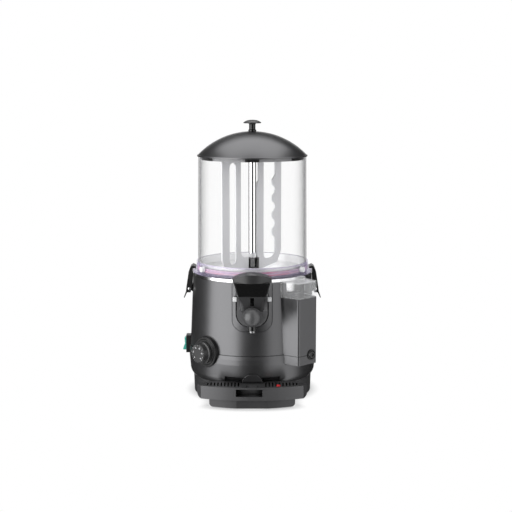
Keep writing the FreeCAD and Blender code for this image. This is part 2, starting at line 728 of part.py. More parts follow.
# ---------------------------------------------------------------- water bath and drive

def build_bath():
    sheet_wall = s.bath_sheet
    inner = s.bath_inner_radius
    column_hole = s.column_radius + s.fit_gap
    profile = [
        (s.bath_rim_radius, s.shell_top),
        (s.bath_rim_radius, s.bath_rim_top),
        (inner, s.bath_rim_top),
        (inner, s.bath_shoulder),
        (s.bath_floor_radius, s.bath_floor),
        (s.shaft_radius + s.fit_gap, s.bath_floor),
        (s.shaft_radius + s.fit_gap, s.bath_floor - sheet_wall),
        (s.bath_floor_radius + 0.6, s.bath_floor - sheet_wall),
        (inner + sheet_wall, s.bath_shoulder - 0.6),
        (inner + sheet_wall, s.bath_rim_top - sheet_wall),
        (s.bath_rim_radius - sheet_wall, s.bath_rim_top - sheet_wall),
        (s.bath_rim_radius - sheet_wall, s.shell_top),
    ]
    bowl = turned("bath_wall", profile)
    inlet_bore = bar("inlet_bore", s.filler_radius - 1.2, inner - 9, s.upper_foot_radius + 9,
                     0, s.filler_height, s.box_azimuth)
    drain_hole = rod("bath_drain_hole", s.drain_bore, s.bath_floor - 9, s.bath_floor + 9,
                     s.drain_offset, s.drain_drop_radius, s.box_azimuth)
    inlet = bar("inlet_pipe", s.filler_radius, inner + 0.5, s.upper_head_radius + 1.4,
                0, s.filler_height, s.box_azimuth)
    sleeve = turned("sleeve_wall", [
        (s.shaft_radius + s.moving_gap, s.bath_floor),
        (column_hole + 3, s.bath_floor),
        (column_hole + 3, s.bath_floor + 2),
        (column_hole, s.bath_floor + 2),
        (column_hole, s.column_foot),
        (s.shaft_radius + s.moving_gap, s.column_foot),
    ])
    piece("bath_bowl", cut("bath", fuse("bath", bowl, sleeve, inlet), inlet_bore, drain_hole))

    ring = doc.addObject("Part::Torus", "heating_element")
    bind(ring, "Radius1", s.heater_ring)
    bind(ring, "Radius2", s.heater_wire)
    moved(ring, 0, 0, s.bath_floor - sheet_wall - s.heater_wire, 0)
    piece("heating_element", ring)


def gear_outline(teeth):
    """One tooth as a trapezoid that stands on the root circle, pointing along +X."""
    pitch_radius = s.gear_module * teeth / 2
    root_radius = pitch_radius - s.gear_module * 1.25
    tip_radius = pitch_radius + s.gear_module * 0.85
    root_half = s.gear_module * 1.02
    tip_half = s.gear_module * 0.33
    sunk = root_radius - s.gear_module * 0.5
    return root_radius, [
        (sunk, -root_half),
        (root_radius, -root_half),
        (tip_radius, -tip_half),
        (tip_radius, tip_half),
        (root_radius, root_half),
        (sunk, root_half),
    ]


def gear(name, teeth, bore, hub_radius, hub_height):
    """A spur gear with a hub above its face, centred on its own axis."""
    low = s.gear_foot
    root_radius, tooth = gear_outline(teeth)
    body = doc.addObject("PartDesign::Body", name)
    disc = new_sketch(body, "XY_Plane", low)
    draw_circle(disc, 0, 0, root_radius)
    draw_circle(disc, 0, 0, bore)
    grow(body, "Pad", disc, s.gear_face)
    flank = new_sketch(body, "XY_Plane", low)
    draw_loop(flank, tooth)
    first = grow(body, "Pad", flank, s.gear_face)
    ring = body.newObject("PartDesign::PolarPattern", name + "_ring")
    ring.Originals = [first]
    ring.Axis = (flank, ["N_Axis"])
    ring.Angle = 360
    ring.Occurrences = int(teeth.number)
    bind(ring, "Occurrences", teeth)
    body.Tip = ring
    hub = new_sketch(body, "XY_Plane", low + s.gear_face)
    draw_circle(hub, 0, 0, hub_radius)
    draw_circle(hub, 0, 0, bore)
    grow(body, "Pad", hub, hub_height)
    return body


def build_drive():
    plate_low = s.ledge_top
    plate_top = s.ledge_top + s.plate_sheet
    rim = s.lower_rim_radius - s.wall - s.fit_gap
    motor_out = s.gear_module * (s.gear_teeth + s.pinion_teeth) / 2
    disc = rod("plate_disc", rim, plate_low, plate_top)
    bush_hole = rod("plate_bush_hole", s.bush_radius + s.fit_gap, plate_low - 1, plate_top + 1)
    motor_hole = rod("plate_motor_hole", s.motor_shaft + 2, plate_low - 1, plate_top + 1,
                     motor_out, 0)
    dial_room = block("plate_dial_room", s.regulator_half + 2, s.regulator_back - 2, rim + 9,
                      plate_low - 1, plate_top + 1, s.dial_azimuth)
    switch_room = block("plate_switch_room", s.switch_half_width + 2, s.housing_back - 2, rim + 9,
                        plate_low - 1, plate_top + 1, -90)
    drain_room = block("plate_drain_room", s.drain_radius, s.drain_drop_radius - 8, rim + 9,
                       plate_low - 1, plate_top + 1, s.box_azimuth, s.drain_offset)
    piece("chassis_plate", cut("chassis_plate", disc, bush_hole, motor_hole, dial_room,
                               switch_room, drain_room))

    bush_bore = s.shaft_radius + s.running_gap
    lower_bush = turned("lower_bush", [
        (bush_bore, plate_top - s.bush_depth),
        (s.bush_radius, plate_top - s.bush_depth),
        (s.bush_radius, plate_top),
        (s.bush_flange, plate_top),
        (s.bush_flange, plate_top + s.bush_flange_height),
        (bush_bore, plate_top + s.bush_flange_height),
    ])
    can = rod("motor_can", s.motor_radius, s.motor_foot, plate_low - 8, motor_out, 0)
    gearbox = rod("motor_gearbox", s.motor_radius * 0.8, plate_low - 8, plate_low, motor_out, 0)
    motor_bore = rod("motor_bore", s.motor_shaft + s.running_gap, plate_low - 20, plate_low + 1,
                     motor_out, 0)
    piece("gear_motor", cut("gear_motor", fuse("gear_motor", can, gearbox), motor_bore))
    spindle = rod("pinion_spindle", s.motor_shaft, plate_low - 19, s.gear_foot + s.gear_face,
                  motor_out, 0)

    big = gear("drive_gear", s.gear_teeth, s.shaft_radius + s.running_gap, s.gear_hub_radius,
               s.gear_hub_height)
    place(big)
    piece("drive_gear", big)
    small = gear("pinion_teeth", s.pinion_teeth, s.motor_shaft / 2, s.motor_shaft + 2.4, 2)
    turn = sized(180) / s.pinion_teeth
    spin = FreeCAD.Rotation(Vector(0, 0, 1), turn.number)
    small.Placement = FreeCAD.Placement(Vector(motor_out.number, axis_shift.number, 0), spin)
    bind(small, "Placement.Base.x", motor_out)
    bind(small, "Placement.Base.y", axis_shift)
    bind(small, "Placement.Rotation.Angle", turn)
    piece("motor_pinion", fuse("motor_pinion", small, spindle))

    piece("drive_shaft", rod("drive_shaft", s.shaft_radius, s.shaft_foot, s.shaft_top))
    bush_low = s.column_top - s.bush_depth
    column_inner = s.column_radius - s.column_wall
    upper_bush = turned("upper_bush", [
        (bush_bore, bush_low),
        (column_inner - s.running_gap, bush_low),
        (column_inner - s.running_gap, s.column_top),
        (s.column_radius - 0.6, s.column_top),
        (s.column_radius - 0.6, s.column_top + s.bush_flange_height),
        (bush_bore, s.column_top + s.bush_flange_height),
    ])
    piece("shaft_bushes", group("shaft_bushes", lower_bush, upper_bush))
    hole = s.column_radius - s.column_wall
    piece("central_column", turned("central_column", [
        (hole, s.column_foot),
        (s.column_radius, s.column_foot),
        (s.column_radius, s.column_top),
        (hole, s.column_top),
    ]))


# ---------------------------------------------------------------- tank and paddle

def neck_hole(name, gap=s.fit_gap):
    return bar(name, s.neck_radius + gap, s.neck_start - 3, s.collar_radius + 9, 0, s.neck_height)


def build_tank():
    foot = s.bath_rim_top + s.fit_gap
    wall = turned("tank_wall_body", [
        (s.tank_foot_radius - s.tank_wall, foot),
        (s.tank_foot_radius, foot),
        (s.tank_head_radius, s.tank_top),
        (s.tank_head_radius - s.tank_wall, s.tank_top),
    ])
    piece("tank_cylinder", cut("tank_cylinder", wall, neck_hole("tank_neck_hole")))
    bore = s.tank_foot_radius + s.fit_gap
    ring = turned("collar_ring", [
        (bore, s.bath_rim_top),
        (s.collar_radius, s.bath_rim_top),
        (s.collar_radius, s.collar_shelf),
        (s.collar_neck_radius, s.collar_shelf),
        (s.collar_neck_radius, s.collar_top),
        (bore, s.collar_top),
        (bore, s.seal_top),
        (s.seal_radius, s.seal_top),
        (s.seal_radius, s.seal_bottom),
        (bore, s.seal_bottom),
    ])
    piece("tank_base_collar", cut("tank_base_collar", ring, neck_hole("collar_neck_hole")))
    gasket = turned("seal_ring", [
        (bore, s.seal_bottom + s.fit_gap),
        (s.seal_radius - s.fit_gap, s.seal_bottom + s.fit_gap),
        (s.seal_radius - s.fit_gap, s.seal_top - s.fit_gap),
        (bore, s.seal_top - s.fit_gap),
    ])
    piece("tank_seal", cut("tank_seal", gasket, neck_hole("seal_neck_hole")))
    pegs = [
        bar(f"peg{index}", s.peg_radius, s.collar_neck_radius - 3, s.peg_reach, 0, s.peg_height, turn)
        for index, turn in enumerate((s.peg_azimuth, -s.peg_azimuth,
                                      180 - s.peg_azimuth, s.peg_azimuth - 180))
    ]
    seat = turned("peg_seat", [
        (0, s.seal_bottom - 9),
        (s.collar_radius, s.seal_bottom - 9),
        (s.collar_radius, s.collar_shelf),
        (s.collar_neck_radius, s.collar_shelf),
        (s.collar_neck_radius, s.collar_top),
        (0, s.collar_top),
    ])
    trimmed = [cut(f"peg{index}", peg, seat) for index, peg in enumerate(pegs)]
    piece("collar_pegs", group("collar_pegs", *trimmed))

    side_out = s.tank_foot_radius - s.tank_wall - s.moving_gap
    hole = s.column_radius + s.fit_gap
    pan = turned("pan_sheet", [
        (side_out, s.pan_rim),
        (side_out - s.pan_sheet, s.pan_rim),
        (side_out - s.pan_sheet, s.pan_side),
        (s.pan_bend, s.pan_bend_height),
        (s.pan_flat, s.pan_middle),
        (hole, s.pan_middle),
        (hole, s.pan_middle - s.pan_sheet),
        (s.pan_flat, s.pan_middle - s.pan_sheet),
        (s.pan_bend + 0.6, s.pan_bend_height - s.pan_sheet),
        (side_out, s.pan_side - 1.2),
    ])
    piece("tank_floor_pan", cut("tank_floor_pan", pan, neck_hole("pan_neck_hole")))
    piece("column_ferrule", turned("column_ferrule", [
        (hole, s.pan_middle),
        (s.ferrule_radius + 2, s.pan_middle),
        (s.ferrule_radius + 2, s.pan_middle + 0.8),
        (s.ferrule_radius, s.pan_middle + 0.8),
        (s.ferrule_radius, s.ferrule_top - 1),
        (s.ferrule_radius - 0.8, s.ferrule_top),
        (hole, s.ferrule_top),
    ]))
    nut = new_body("column_nut")
    sketch = new_sketch(nut, "XY_Plane", s.pan_middle - s.pan_sheet - s.nut_height)
    flat = s.nut_radius / 2
    tall = leg(s.nut_radius, flat)
    draw_loop(sketch, [
        (s.nut_radius, 0), (flat, tall), (-flat, tall),
        (-s.nut_radius, 0), (-flat, -tall), (flat, -tall),
    ])
    draw_circle(sketch, 0, 0, hole)
    grow(nut, "Pad", sketch, s.nut_height)
    piece("column_nut", nut)


def build_paddle():
    plate = new_body("mixing_paddle", 0, s.paddle_turn)
    sketch = new_sketch(plate, "XZ_Plane")
    neck = s.hub_radius + s.fit_gap
    slot_round = (s.outer_slot_far - s.outer_slot_near) / 2
    guide_edge = s.guide_radius + s.fit_gap
    gap_round = s.inner_gap_round
    draw_loop(sketch, [
        (-s.paddle_half, s.paddle_top),
        (-s.paddle_half, s.paddle_side_foot),
        (-s.paddle_bevel_half, s.paddle_bevel),
        (-guide_edge, s.paddle_foot),
        (-guide_edge, s.inner_gap_foot),
        (-s.inner_gap_far + gap_round, s.inner_gap_foot, -gap_round),
        (-s.inner_gap_far, s.inner_gap_foot + gap_round),
        (-s.inner_gap_far, s.window_top),
        (-neck, s.window_top),
        (-neck, s.paddle_top),
    ])
    draw_loop(sketch, [
        (-s.outer_slot_far, s.window_foot + slot_round, slot_round),
        (-s.outer_slot_far + slot_round, s.window_foot, slot_round),
        (-s.outer_slot_near, s.window_foot + slot_round),
        (-s.outer_slot_near, s.window_top - slot_round, slot_round),
        (-s.outer_slot_far + slot_round, s.window_top, slot_round),
        (-s.outer_slot_far, s.window_top - slot_round),
    ])
    draw_loop(sketch, [
        (neck, s.paddle_top),
        (neck, s.window_top),
        (s.right_gap_top, s.window_top),
        (s.right_gap_top, s.step_height + 6),
        (s.right_gap_low, s.step_height),
        (s.right_gap_low, s.paddle_foot),
        (s.paddle_bevel_half, s.paddle_bevel),
        (s.right_half, s.paddle_side_foot),
        (s.right_half, s.paddle_top),
    ])
    wave_radius = (s.wave_pitch * s.wave_pitch / 16 + s.wave_depth * s.wave_depth / 4) / s.wave_depth
    crest = s.right_slot_far - s.wave_depth
    quarter = s.wave_pitch / 4
    middle = (s.right_slot_far + crest) / 2
    corners = [
        (s.right_slot_near, s.window_foot + 10, 10),
        (s.right_slot_near + 10, s.window_foot),
        (s.right_slot_far - 18, s.window_foot, 18),
        (s.right_slot_far, s.window_foot + 18),
        (s.right_slot_far, s.wave_first - quarter * 2, wave_radius),
    ]
    for index in range(4):
        centre = s.wave_first + s.wave_pitch * index
        corners.append((middle, centre - quarter, -wave_radius))
        corners.append((crest, centre, -wave_radius))
        corners.append((middle, centre + quarter, wave_radius))
        if index < 3:
            corners.append((s.right_slot_far, centre + quarter * 2, wave_radius))
    top_of_wave = s.wave_first + s.wave_pitch * 3 + quarter * 2
    corners += [
        (s.right_slot_far, top_of_wave),
        (s.right_slot_far, s.window_top),
        (s.right_slot_near, s.window_top),
    ]
    draw_loop(sketch, corners)
    grow(plate, "Pad", sketch, s.paddle_sheet, both=True)
    piece("mixing_paddle", plate)

    guide = turned("guide_wall", [
        (s.ferrule_radius + s.moving_gap, s.guide_foot),
        (s.guide_radius, s.guide_foot),
        (s.guide_radius, s.guide_top),
        (s.ferrule_radius + s.moving_gap, s.guide_top),
    ])
    window = block("guide_window", s.guide_window_half, 0, s.guide_radius + 9,
                   s.guide_window_foot, s.guide_top + 1)
    piece("paddle_guide", cut("paddle_guide", guide, window))
    shaft_hole = s.shaft_radius + s.running_gap
    cup = s.column_radius + s.moving_gap
    cup_top = s.column_top + s.bush_flange_height + s.moving_gap
    piece("paddle_hub", turned("paddle_hub", [
        (cup, s.hub_foot),
        (s.hub_radius, s.hub_foot),
        (s.hub_radius, s.hub_top - 2),
        (s.hub_radius - 2, s.hub_top),
        (shaft_hole, s.hub_top),
        (shaft_hole, cup_top),
        (cup, cup_top),
    ]))


# ---------------------------------------------------------------- lid

def dome_height(radius, sphere):
    """Height of a sphere that is centred with the lid's dome, at a distance from the axis."""
    return s.dome_top - s.dome_radius + leg(sphere, radius)


def build_lid():
    bore = s.lid_screw_radius + s.fit_gap
    inner_sphere = s.dome_radius - s.dome_sheet
    shoulder = s.lid_rim_radius - 1.6
    inner_edge = s.lid_rim_inner
    rim_foot = s.tank_top + s.fit_gap
    dome = turned("lid_dome", [
        (bore, dome_height(bore, inner_sphere), -inner_sphere),
        (inner_edge - 1.2, dome_height(inner_edge - 1.2, inner_sphere)),
        (inner_edge, rim_foot + 1),
        (inner_edge, rim_foot),
        (s.lid_rim_radius, rim_foot),
        (s.lid_rim_radius, rim_foot + 2.6),
        (shoulder, dome_height(shoulder, s.dome_radius), s.dome_radius),
        (bore, dome_height(bore, s.dome_radius)),
    ])
    piece("lid_dome", dome)
    ring_inner = s.ring_radius - s.ring_sheet
    piece("lid_ring", turned("lid_ring", [
        (ring_inner, s.ring_foot),
        (s.ring_radius, s.ring_foot),
        (s.ring_radius, dome_height(s.ring_radius, inner_sphere) - s.fit_gap),
        (ring_inner, dome_height(ring_inner, inner_sphere) - s.fit_gap),
    ]))
    lugs = []
    bearings = [(s.lug_azimuth, s.lug_span), (-s.lug_azimuth, s.lug_span),
                (180 - s.lug_azimuth, s.lug_span), (s.lug_azimuth - 180, s.lug_span),
                (sized(0), s.front_lug_span), (sized(180), s.front_lug_span)]
    for index, (bearing, span) in enumerate(bearings):
        arc = new_body(f"lug{index}", 0, bearing - span / 2)
        sketch = new_sketch(arc, "YZ_Plane")
        near = -(s.ring_radius + s.fit_gap)
        draw_loop(sketch, rectangle(-s.lug_radius, s.ring_foot, near, s.tank_top))
        sweep = revolve(arc, sketch)
        bind(sweep, "Angle", span)
        lugs.append(arc)
    piece("lid_lugs", group("lid_lugs", *lugs))
    piece("lid_knob_stem", turned("lid_knob_stem", [
        (bore, s.dome_top),
        (s.stem_radius + 1.6, s.dome_top),
        (s.stem_radius + 1.6, s.dome_top + 3),
        (s.stem_radius, s.dome_top + 4),
        (s.stem_radius, s.knob_foot),
        (bore, s.knob_foot),
    ]))
    round_edge = (s.knob_top - s.knob_foot) * 0.55
    cap = turned("knob_cap", [
        (0, s.knob_foot),
        (s.knob_radius - 1.5, s.knob_foot),
        (s.knob_radius, s.knob_foot + 1.5),
        (s.knob_radius, s.knob_top - round_edge, round_edge),
        (s.knob_radius - round_edge, s.knob_top),
        (0, s.knob_top),
    ])
    head_top = dome_height(s.screw_head_radius, inner_sphere)
    stud = turned("knob_stud", [
        (0, head_top - 3),
        (s.screw_head_radius, head_top - 3),
        (s.screw_head_radius, head_top),
        (s.lid_screw_radius, head_top),
        (s.lid_screw_radius, s.knob_foot + 1),
        (0, s.knob_foot + 1),
    ])
    piece("lid_knob", fuse("lid_knob", cap, stud))


# ---------------------------------------------------------------- tap

def cover_side(shrink=0, back=cover_back):
    """Side outline of the tap cover, drawn inwards by a wall."""
    top = s.cover_top
    return [
        (back, s.cover_foot + shrink),
        (cover_foot_reach - shrink, s.cover_foot + shrink),
        (cover_break_reach - shrink, s.cover_break),
        (cover_top_reach - shrink, top),
        (back, top),
    ]


def cover_front(shrink=0):
    return [
        (-(s.cover_foot_half - shrink), s.cover_foot + shrink),
        (s.cover_foot_half - shrink, s.cover_foot + shrink),
        (s.cover_break_half - shrink, s.cover_break),
        (s.cover_top_half - shrink, s.cover_top),
        (-(s.cover_top_half - shrink), s.cover_top),
        (-(s.cover_break_half - shrink), s.cover_break),
    ]


def build_tap_valve():
    out = s.valve_reach
    tube = rod("valve_tube", s.valve_radius, s.valve_foot, s.valve_top, 0, out)
    neck = bar("valve_neck", s.neck_radius, s.neck_start, out, 0, s.neck_height)
    bores = [
        rod("valve_outlet", s.valve_bore - 2, s.valve_foot - 1, s.seat_top + 1, 0, out),
        rod("valve_chamber", s.valve_bore, s.seat_top, s.spring_seat, 0, out),
        rod("valve_head", s.valve_bore - 1.5, s.spring_seat - 1, s.valve_top - 2, 0, out),
        bar("valve_inlet", s.neck_bore, s.neck_start - 1, out, 0, s.neck_height),
        block("valve_window", s.tine_outer + s.moving_gap, out - s.valve_radius - 1, out,
              s.pivot_height - s.tine_thick - 2, s.collar_foot + 9),
    ]
    piece("tap_valve_body", cut("tap_valve_body", fuse("tap_valve", tube, neck), *bores))

    slack = s.valve_bore - s.moving_gap
    foot = s.seat_top + s.moving_gap / 3
    stem = turned("piston_stem", [
        (0, foot),
        (slack, foot),
        (slack, foot + s.head_height),
        (s.rod_radius, foot + s.head_height),
        (s.rod_radius, s.collar_foot),
        (slack, s.collar_foot),
        (slack, s.collar_foot + s.collar_height),
        (s.rod_radius, s.collar_foot + s.collar_height),
        (s.rod_radius, s.rod_top),
        (0, s.rod_top),
    ])
    stand_at(stem, out)
    piece("tap_piston", stem)
    spring = coil("tap_spring", s.rod_radius + s.fit_gap, s.valve_bore - 1.3,
                  s.collar_foot + s.collar_height, s.spring_seat, 12)
    stand_at(spring, out)
    piece("tap_spring", spring)

    nozzle = turned("tap_nozzle", [
        (s.spout_radius + s.fit_gap, s.nozzle_foot),
        (s.nozzle_radius, s.nozzle_foot),
        (s.nozzle_radius, s.nozzle_top),
        (s.valve_radius + s.fit_gap, s.nozzle_top),
        (s.valve_radius + s.fit_gap, s.valve_foot),
        (s.spout_radius + s.fit_gap, s.valve_foot),
    ])
    stand_at(nozzle, out)
    piece("tap_nozzle", nozzle)
    tip = rod("spout_wall", s.spout_radius, s.spout_foot, s.valve_foot, 0, out)
    tip_bore = rod("spout_bore", s.spout_radius - 1.6, s.spout_foot - 1, s.valve_foot + 1, 0, out)
    slit = block("spout_slit", s.spout_slit / 2, out, out + s.spout_radius + 1, s.spout_foot - 1,
                 s.nozzle_foot)
    piece("spout_tip", cut("spout_tip", tip, tip_bore, slit))


def stand_at(body, out):
    """Moves a body that was turned about its own axis out to a distance in front."""
    shift = axis_shift - out
    body.Placement = FreeCAD.Placement(Vector(0, shift.number, 0), FreeCAD.Rotation())
    bind(body, "Placement.Base.y", shift)


def build_tap_covers():
    out = s.valve_reach
    skin = common("cover_skin", front("cover_front", cover_front(), cover_back, cover_top_reach),
                  side("cover_side", cover_side(), s.cover_top_half))
    wall = s.cover_wall
    room = common("cover_room",
                  front("room_front", cover_front(wall), cover_back - 1, cover_top_reach),
                  side("room_side", cover_side(wall, cover_back - 1), s.cover_top_half))
    roof = rod("cover_bridge", s.valve_radius + 5, s.cover_break, s.cover_break + 4, 0, out)
    rib = block("cover_rib", 2, out, cover_break_reach - 1, s.cover_break, s.cover_break + 4)
    slot = block("cover_slot", s.slot_half, cover_foot_reach - 8, cover_top_reach,
                 s.slot_bottom, s.slot_top)
    tube_hole = rod("cover_tube_hole", s.valve_radius + s.fit_gap, s.cover_foot - 1, s.cover_top + 1,
                    0, out)
    shell = cut("cover_shell", skin, room, slot)
    whole = fuse("tap_cover", shell, roof, rib)
    piece("tap_cover", cut("tap_cover", whole, tube_hole))

    thick = s.plate_thick
    inset = s.plate_inset
    low = s.cover_break + 0.5
    high = s.cover_top - 0.5
    lean = (cover_top_reach - cover_break_reach) / (s.cover_top - s.cover_break)
    low_reach = cover_break_reach + lean * 0.5
    high_reach = cover_top_reach - lean * 0.5
    plate_side = side("plate_side", [
        (low_reach, low),
        (low_reach + thick, low),
        (high_reach + thick, high),
        (high_reach, high),
    ], s.cover_top_half)
    plate_front = front("plate_front", [
        (-(s.cover_break_half - inset), low),
        (s.cover_break_half - inset, low),
        (s.cover_top_half - inset * 2, high),
        (-(s.cover_top_half - inset * 2), high),
    ], cover_back, cover_top_reach + thick * 2)
    piece("tap_plate", common("tap_plate", plate_front, plate_side))

    shoulder = s.cap_shoulder
    rise = s.cap_top - shoulder
    crown = (s.cap_half * s.cap_half + rise * rise) / (rise * 2)
    bulge = cap_reach - cap_side_reach
    bow = (s.cap_half * s.cap_half + bulge * bulge) / (bulge * 2)
    cap_front = front("cap_front", [
        (-s.cap_half, s.cover_top),
        (s.cap_half, s.cover_top),
        (s.cap_half, shoulder, crown),
        (-s.cap_half, shoulder),
    ], cap_back, cap_reach + 1)
    cap_plan = plan("cap_plan", [
        (-s.cap_half, cap_back),
        (-s.cap_half, cap_side_reach, bow),
        (s.cap_half, cap_side_reach),
        (s.cap_half, cap_back),
    ], s.cover_top, s.cap_top + 1)
    tube_room = rod("cap_tube_room", s.valve_radius + s.fit_gap, s.cover_top - 1,
                    s.valve_top + s.fit_gap, 0, out)
    neck_room = block("cap_neck_room", s.neck_radius + s.fit_gap, cap_back - 1, out,
                      s.cover_top - 1, s.neck_height + s.neck_radius + s.fit_gap)
    piece("tap_cap", cut("tap_cap", common("tap_cap", cap_front, cap_plan), tube_room, neck_room))

    gap = s.fit_gap
    cheeks = []
    for index, way in enumerate((1, -1)):
        corners = [
            ((s.cover_break_half + gap) * way, s.cover_break),
            ((s.cover_break_half + gap + s.cheek_thick) * way, s.cover_break),
            ((s.cover_top_half + gap + s.cheek_thick) * way, s.cover_top),
            ((s.cover_top_half + gap) * way, s.cover_top),
        ]
        if way < 0:
            corners.reverse()
        cheeks.append(front(f"cheek{index}", corners, cover_back + 3, cover_break_reach))
    piece("tap_cheeks", group("tap_cheeks", *cheeks))


def build_tap_lever():
    reach, height = s.pivot_reach, s.pivot_height
    arm_u = [
        (-s.arm_outer, height + s.eye_radius),
        (-s.arm_outer, s.lever_foot + s.lever_corner, s.lever_corner),
        (-s.arm_outer + s.lever_corner, s.lever_foot),
        (s.arm_outer - s.lever_corner, s.lever_foot, s.lever_corner),
        (s.arm_outer, s.lever_foot + s.lever_corner),
        (s.arm_outer, height + s.eye_radius),
        (s.arm_inner, height + s.eye_radius),
        (s.arm_inner, s.lever_cross + 8, -8),
        (s.arm_inner - 8, s.lever_cross),
        (-s.arm_inner + 8, s.lever_cross, -8),
        (-s.arm_inner, s.lever_cross + 8),
        (-s.arm_inner, height + s.eye_radius),
    ]
    back = s.lever_front - s.arm_thick
    arm_side = [
        (back, s.lever_foot),
        (s.lever_front, s.lever_foot),
        (s.lever_front, s.lever_cross + 4),
        (reach + 2, height + s.eye_radius - 0.4),
        (reach - 2, height + s.eye_radius - 0.4),
        (reach - s.eye_radius + 0.4, height - 2),
        (reach - 1, height - s.eye_radius + 0.6),
        (back, s.lever_cross + 1),
    ]
    yoke = common("yoke", front("yoke_front", arm_u, reach - 9, s.lever_front + 1),
                  side("yoke_side", arm_side, s.arm_outer))
    cross = pin("lever_bar", s.bar_radius, s.arm_inner + 1, reach, height)
    tines = block("lever_tines", s.tine_outer, reach, s.tine_reach, height - s.tine_thick / 2,
                  height + s.tine_thick / 2)
    fork = block("lever_fork", s.tine_inner, s.valve_reach - 4, s.tine_reach + 1,
                 height - 9, height + 9)
    stub = bar("ball_stub", s.ball_stub, s.lever_front - 1, s.ball_reach - 10, 0, s.ball_height)
    bore = pin("lever_bore", s.pivot_radius + s.running_gap, s.arm_outer + 9, reach, height)
    whole = fuse("tap_lever", yoke, cross, cut("tines", tines, fork), stub)
    piece("tap_lever", cut("tap_lever", whole, bore))

    ball = doc.addObject("Part::Sphere", "ball_sphere")
    bind(ball, "Radius", s.ball_radius)
    moved(ball, 0, s.ball_reach, s.ball_height, 0)
    socket = bar("ball_socket", s.ball_stub + s.running_gap, s.lever_front - 9, s.ball_reach - 10,
                 0, s.ball_height)
    back_trim = block("ball_trim", s.ball_radius + 1, s.lever_front - 30, s.lever_front,
                      s.ball_height - s.ball_radius - 1, s.ball_height + s.ball_radius + 1)
    piece("ball_knob", cut("ball_knob", ball, socket, back_trim))

    piece("tap_pivot_pin", pin("tap_pivot_pin", s.pivot_radius, s.arm_outer + s.boss_width,
                               reach, height))
    lugs = []
    room = envelope("boss_back", s.pad_relief)
    for index, start in enumerate((s.arm_outer + s.moving_gap,
                                   -(s.arm_outer + s.moving_gap + s.boss_width))):
        middle = start + s.boss_width / 2
        round_part = pin(f"boss_round{index}", s.boss_radius, s.boss_width / 2, reach, height,
                         0, start)
        ball = doc.addObject("Part::Sphere", f"boss_ball{index}")
        bind(ball, "Radius", s.boss_round)
        moved(ball, middle, reach, height, 0)
        round_part = common(f"boss_front{index}", round_part, ball)
        foot = block(f"boss_foot{index}", s.boss_width / 2 - s.boss_step, s.upper_head_radius - 9,
                     reach, height - s.boss_radius + s.boss_step, height + s.boss_radius - s.boss_step,
                     0, middle)
        hole = pin(f"boss_hole_{index}", s.pivot_radius, s.arm_outer + 20, reach, height)
        lugs.append(cut(f"boss{index}", fuse(f"boss{index}", round_part, foot), room, hole))
    piece("tap_pivot_bosses", group("tap_pivot_bosses", *lugs))


# ---------------------------------------------------------------- latches

def build_latch(name, turn):
    reach, height = s.latch_pivot_reach, s.latch_pivot_height
    shelf = s.collar_shelf + s.moving_gap
    clear = s.collar_radius + 0.6
    outline = [
        (s.latch_hook, shelf),
        (clear, shelf),
        (clear, s.bath_rim_top + 2),
        (s.bath_rim_radius + 2, s.shell_top - 3),
        (reach - 5.2, height + 2),
        (reach - 2.6, height - 8),
        (reach + 4.9, height - 8),
        (reach + 10.4, height - 19.6),
        (reach + 12, height - 19),
        (reach + 7.4, height - 6),
        (reach + 6.4, height + 3),
        (s.collar_radius + 8.8, s.collar_shelf - 7),
        (s.collar_radius + 5, s.collar_shelf + 3),
        (s.collar_radius, s.collar_shelf + 6.5),
        (s.latch_hook, s.collar_shelf + 3.6),
    ]
    body = side(name + "_blank", outline, s.latch_half, turn)
    sheet_wall = s.latch_sheet
    hollow = side(name + "_hollow", [
        (s.collar_radius - 9, height - 12),
        (reach + 2.6, height - 12),
        (reach + 4.6, height - 6),
        (reach + 3.8, height + 3),
        (s.collar_radius + 6.2, s.collar_shelf - 9),
        (s.collar_radius - 9, s.collar_shelf - 9),
    ], s.latch_half - sheet_wall, turn)
    hole = pin(name + "_hole", s.latch_pin_radius + s.running_gap, s.latch_half + 1, reach, height,
               turn)
    piece(name, cut(name, body, hollow, hole))


def build_latch_hardware():
    reach, height = s.latch_pivot_reach, s.latch_pivot_height
    ears = []
    pins = []
    springs = []
    back = envelope("bracket_back", 0)
    for label, turn in (("right", 90), ("left", -90)):
        lug = block(f"bracket_{label}", s.bracket_half + s.ear_thick, s.upper_head_radius - 9,
                    s.upper_foot_radius - 3.2, height - 6, height + 9, turn)
        arm = side(f"bracket_arm_{label}", [
            (s.upper_head_radius - 9, height - 5),
            (reach + 1, height - 3.6),
            (reach + 3.2, height),
            (reach + 1, height + 3.6),
            (s.upper_head_radius - 9, height + 6),
        ], s.bracket_half + s.ear_thick, turn)
        gap = block(f"bracket_gap_{label}", s.bracket_half, s.upper_foot_radius - 4, reach + 9,
                    height - 20, height + 20, turn)
        hole = pin(f"bracket_hole_{label}", s.latch_pin_radius, s.latch_half, reach, height, turn)
        ears.append(cut(f"bracket_{label}", fuse(f"bracket_{label}", lug, arm), gap, back, hole))
        pins.append(pin(f"latch_pin_{label}", s.latch_pin_radius, s.latch_half, reach, height, turn))
        sleeve = pin(f"latch_spring_{label}", s.latch_pin_radius + 1.5,
                     s.bracket_half - s.moving_gap, reach, height, turn)
        core = pin(f"spring_core_{label}", s.latch_pin_radius + s.running_gap, s.latch_half, reach,
                   height, turn)
        springs.append(cut(f"latch_spring_{label}", sleeve, core))
    piece("latch_brackets", group("latch_brackets", *ears))
    piece("latch_pins", group("latch_pins", *pins))
    piece("latch_springs", group("latch_springs", *springs))


# ---------------------------------------------------------------- controls

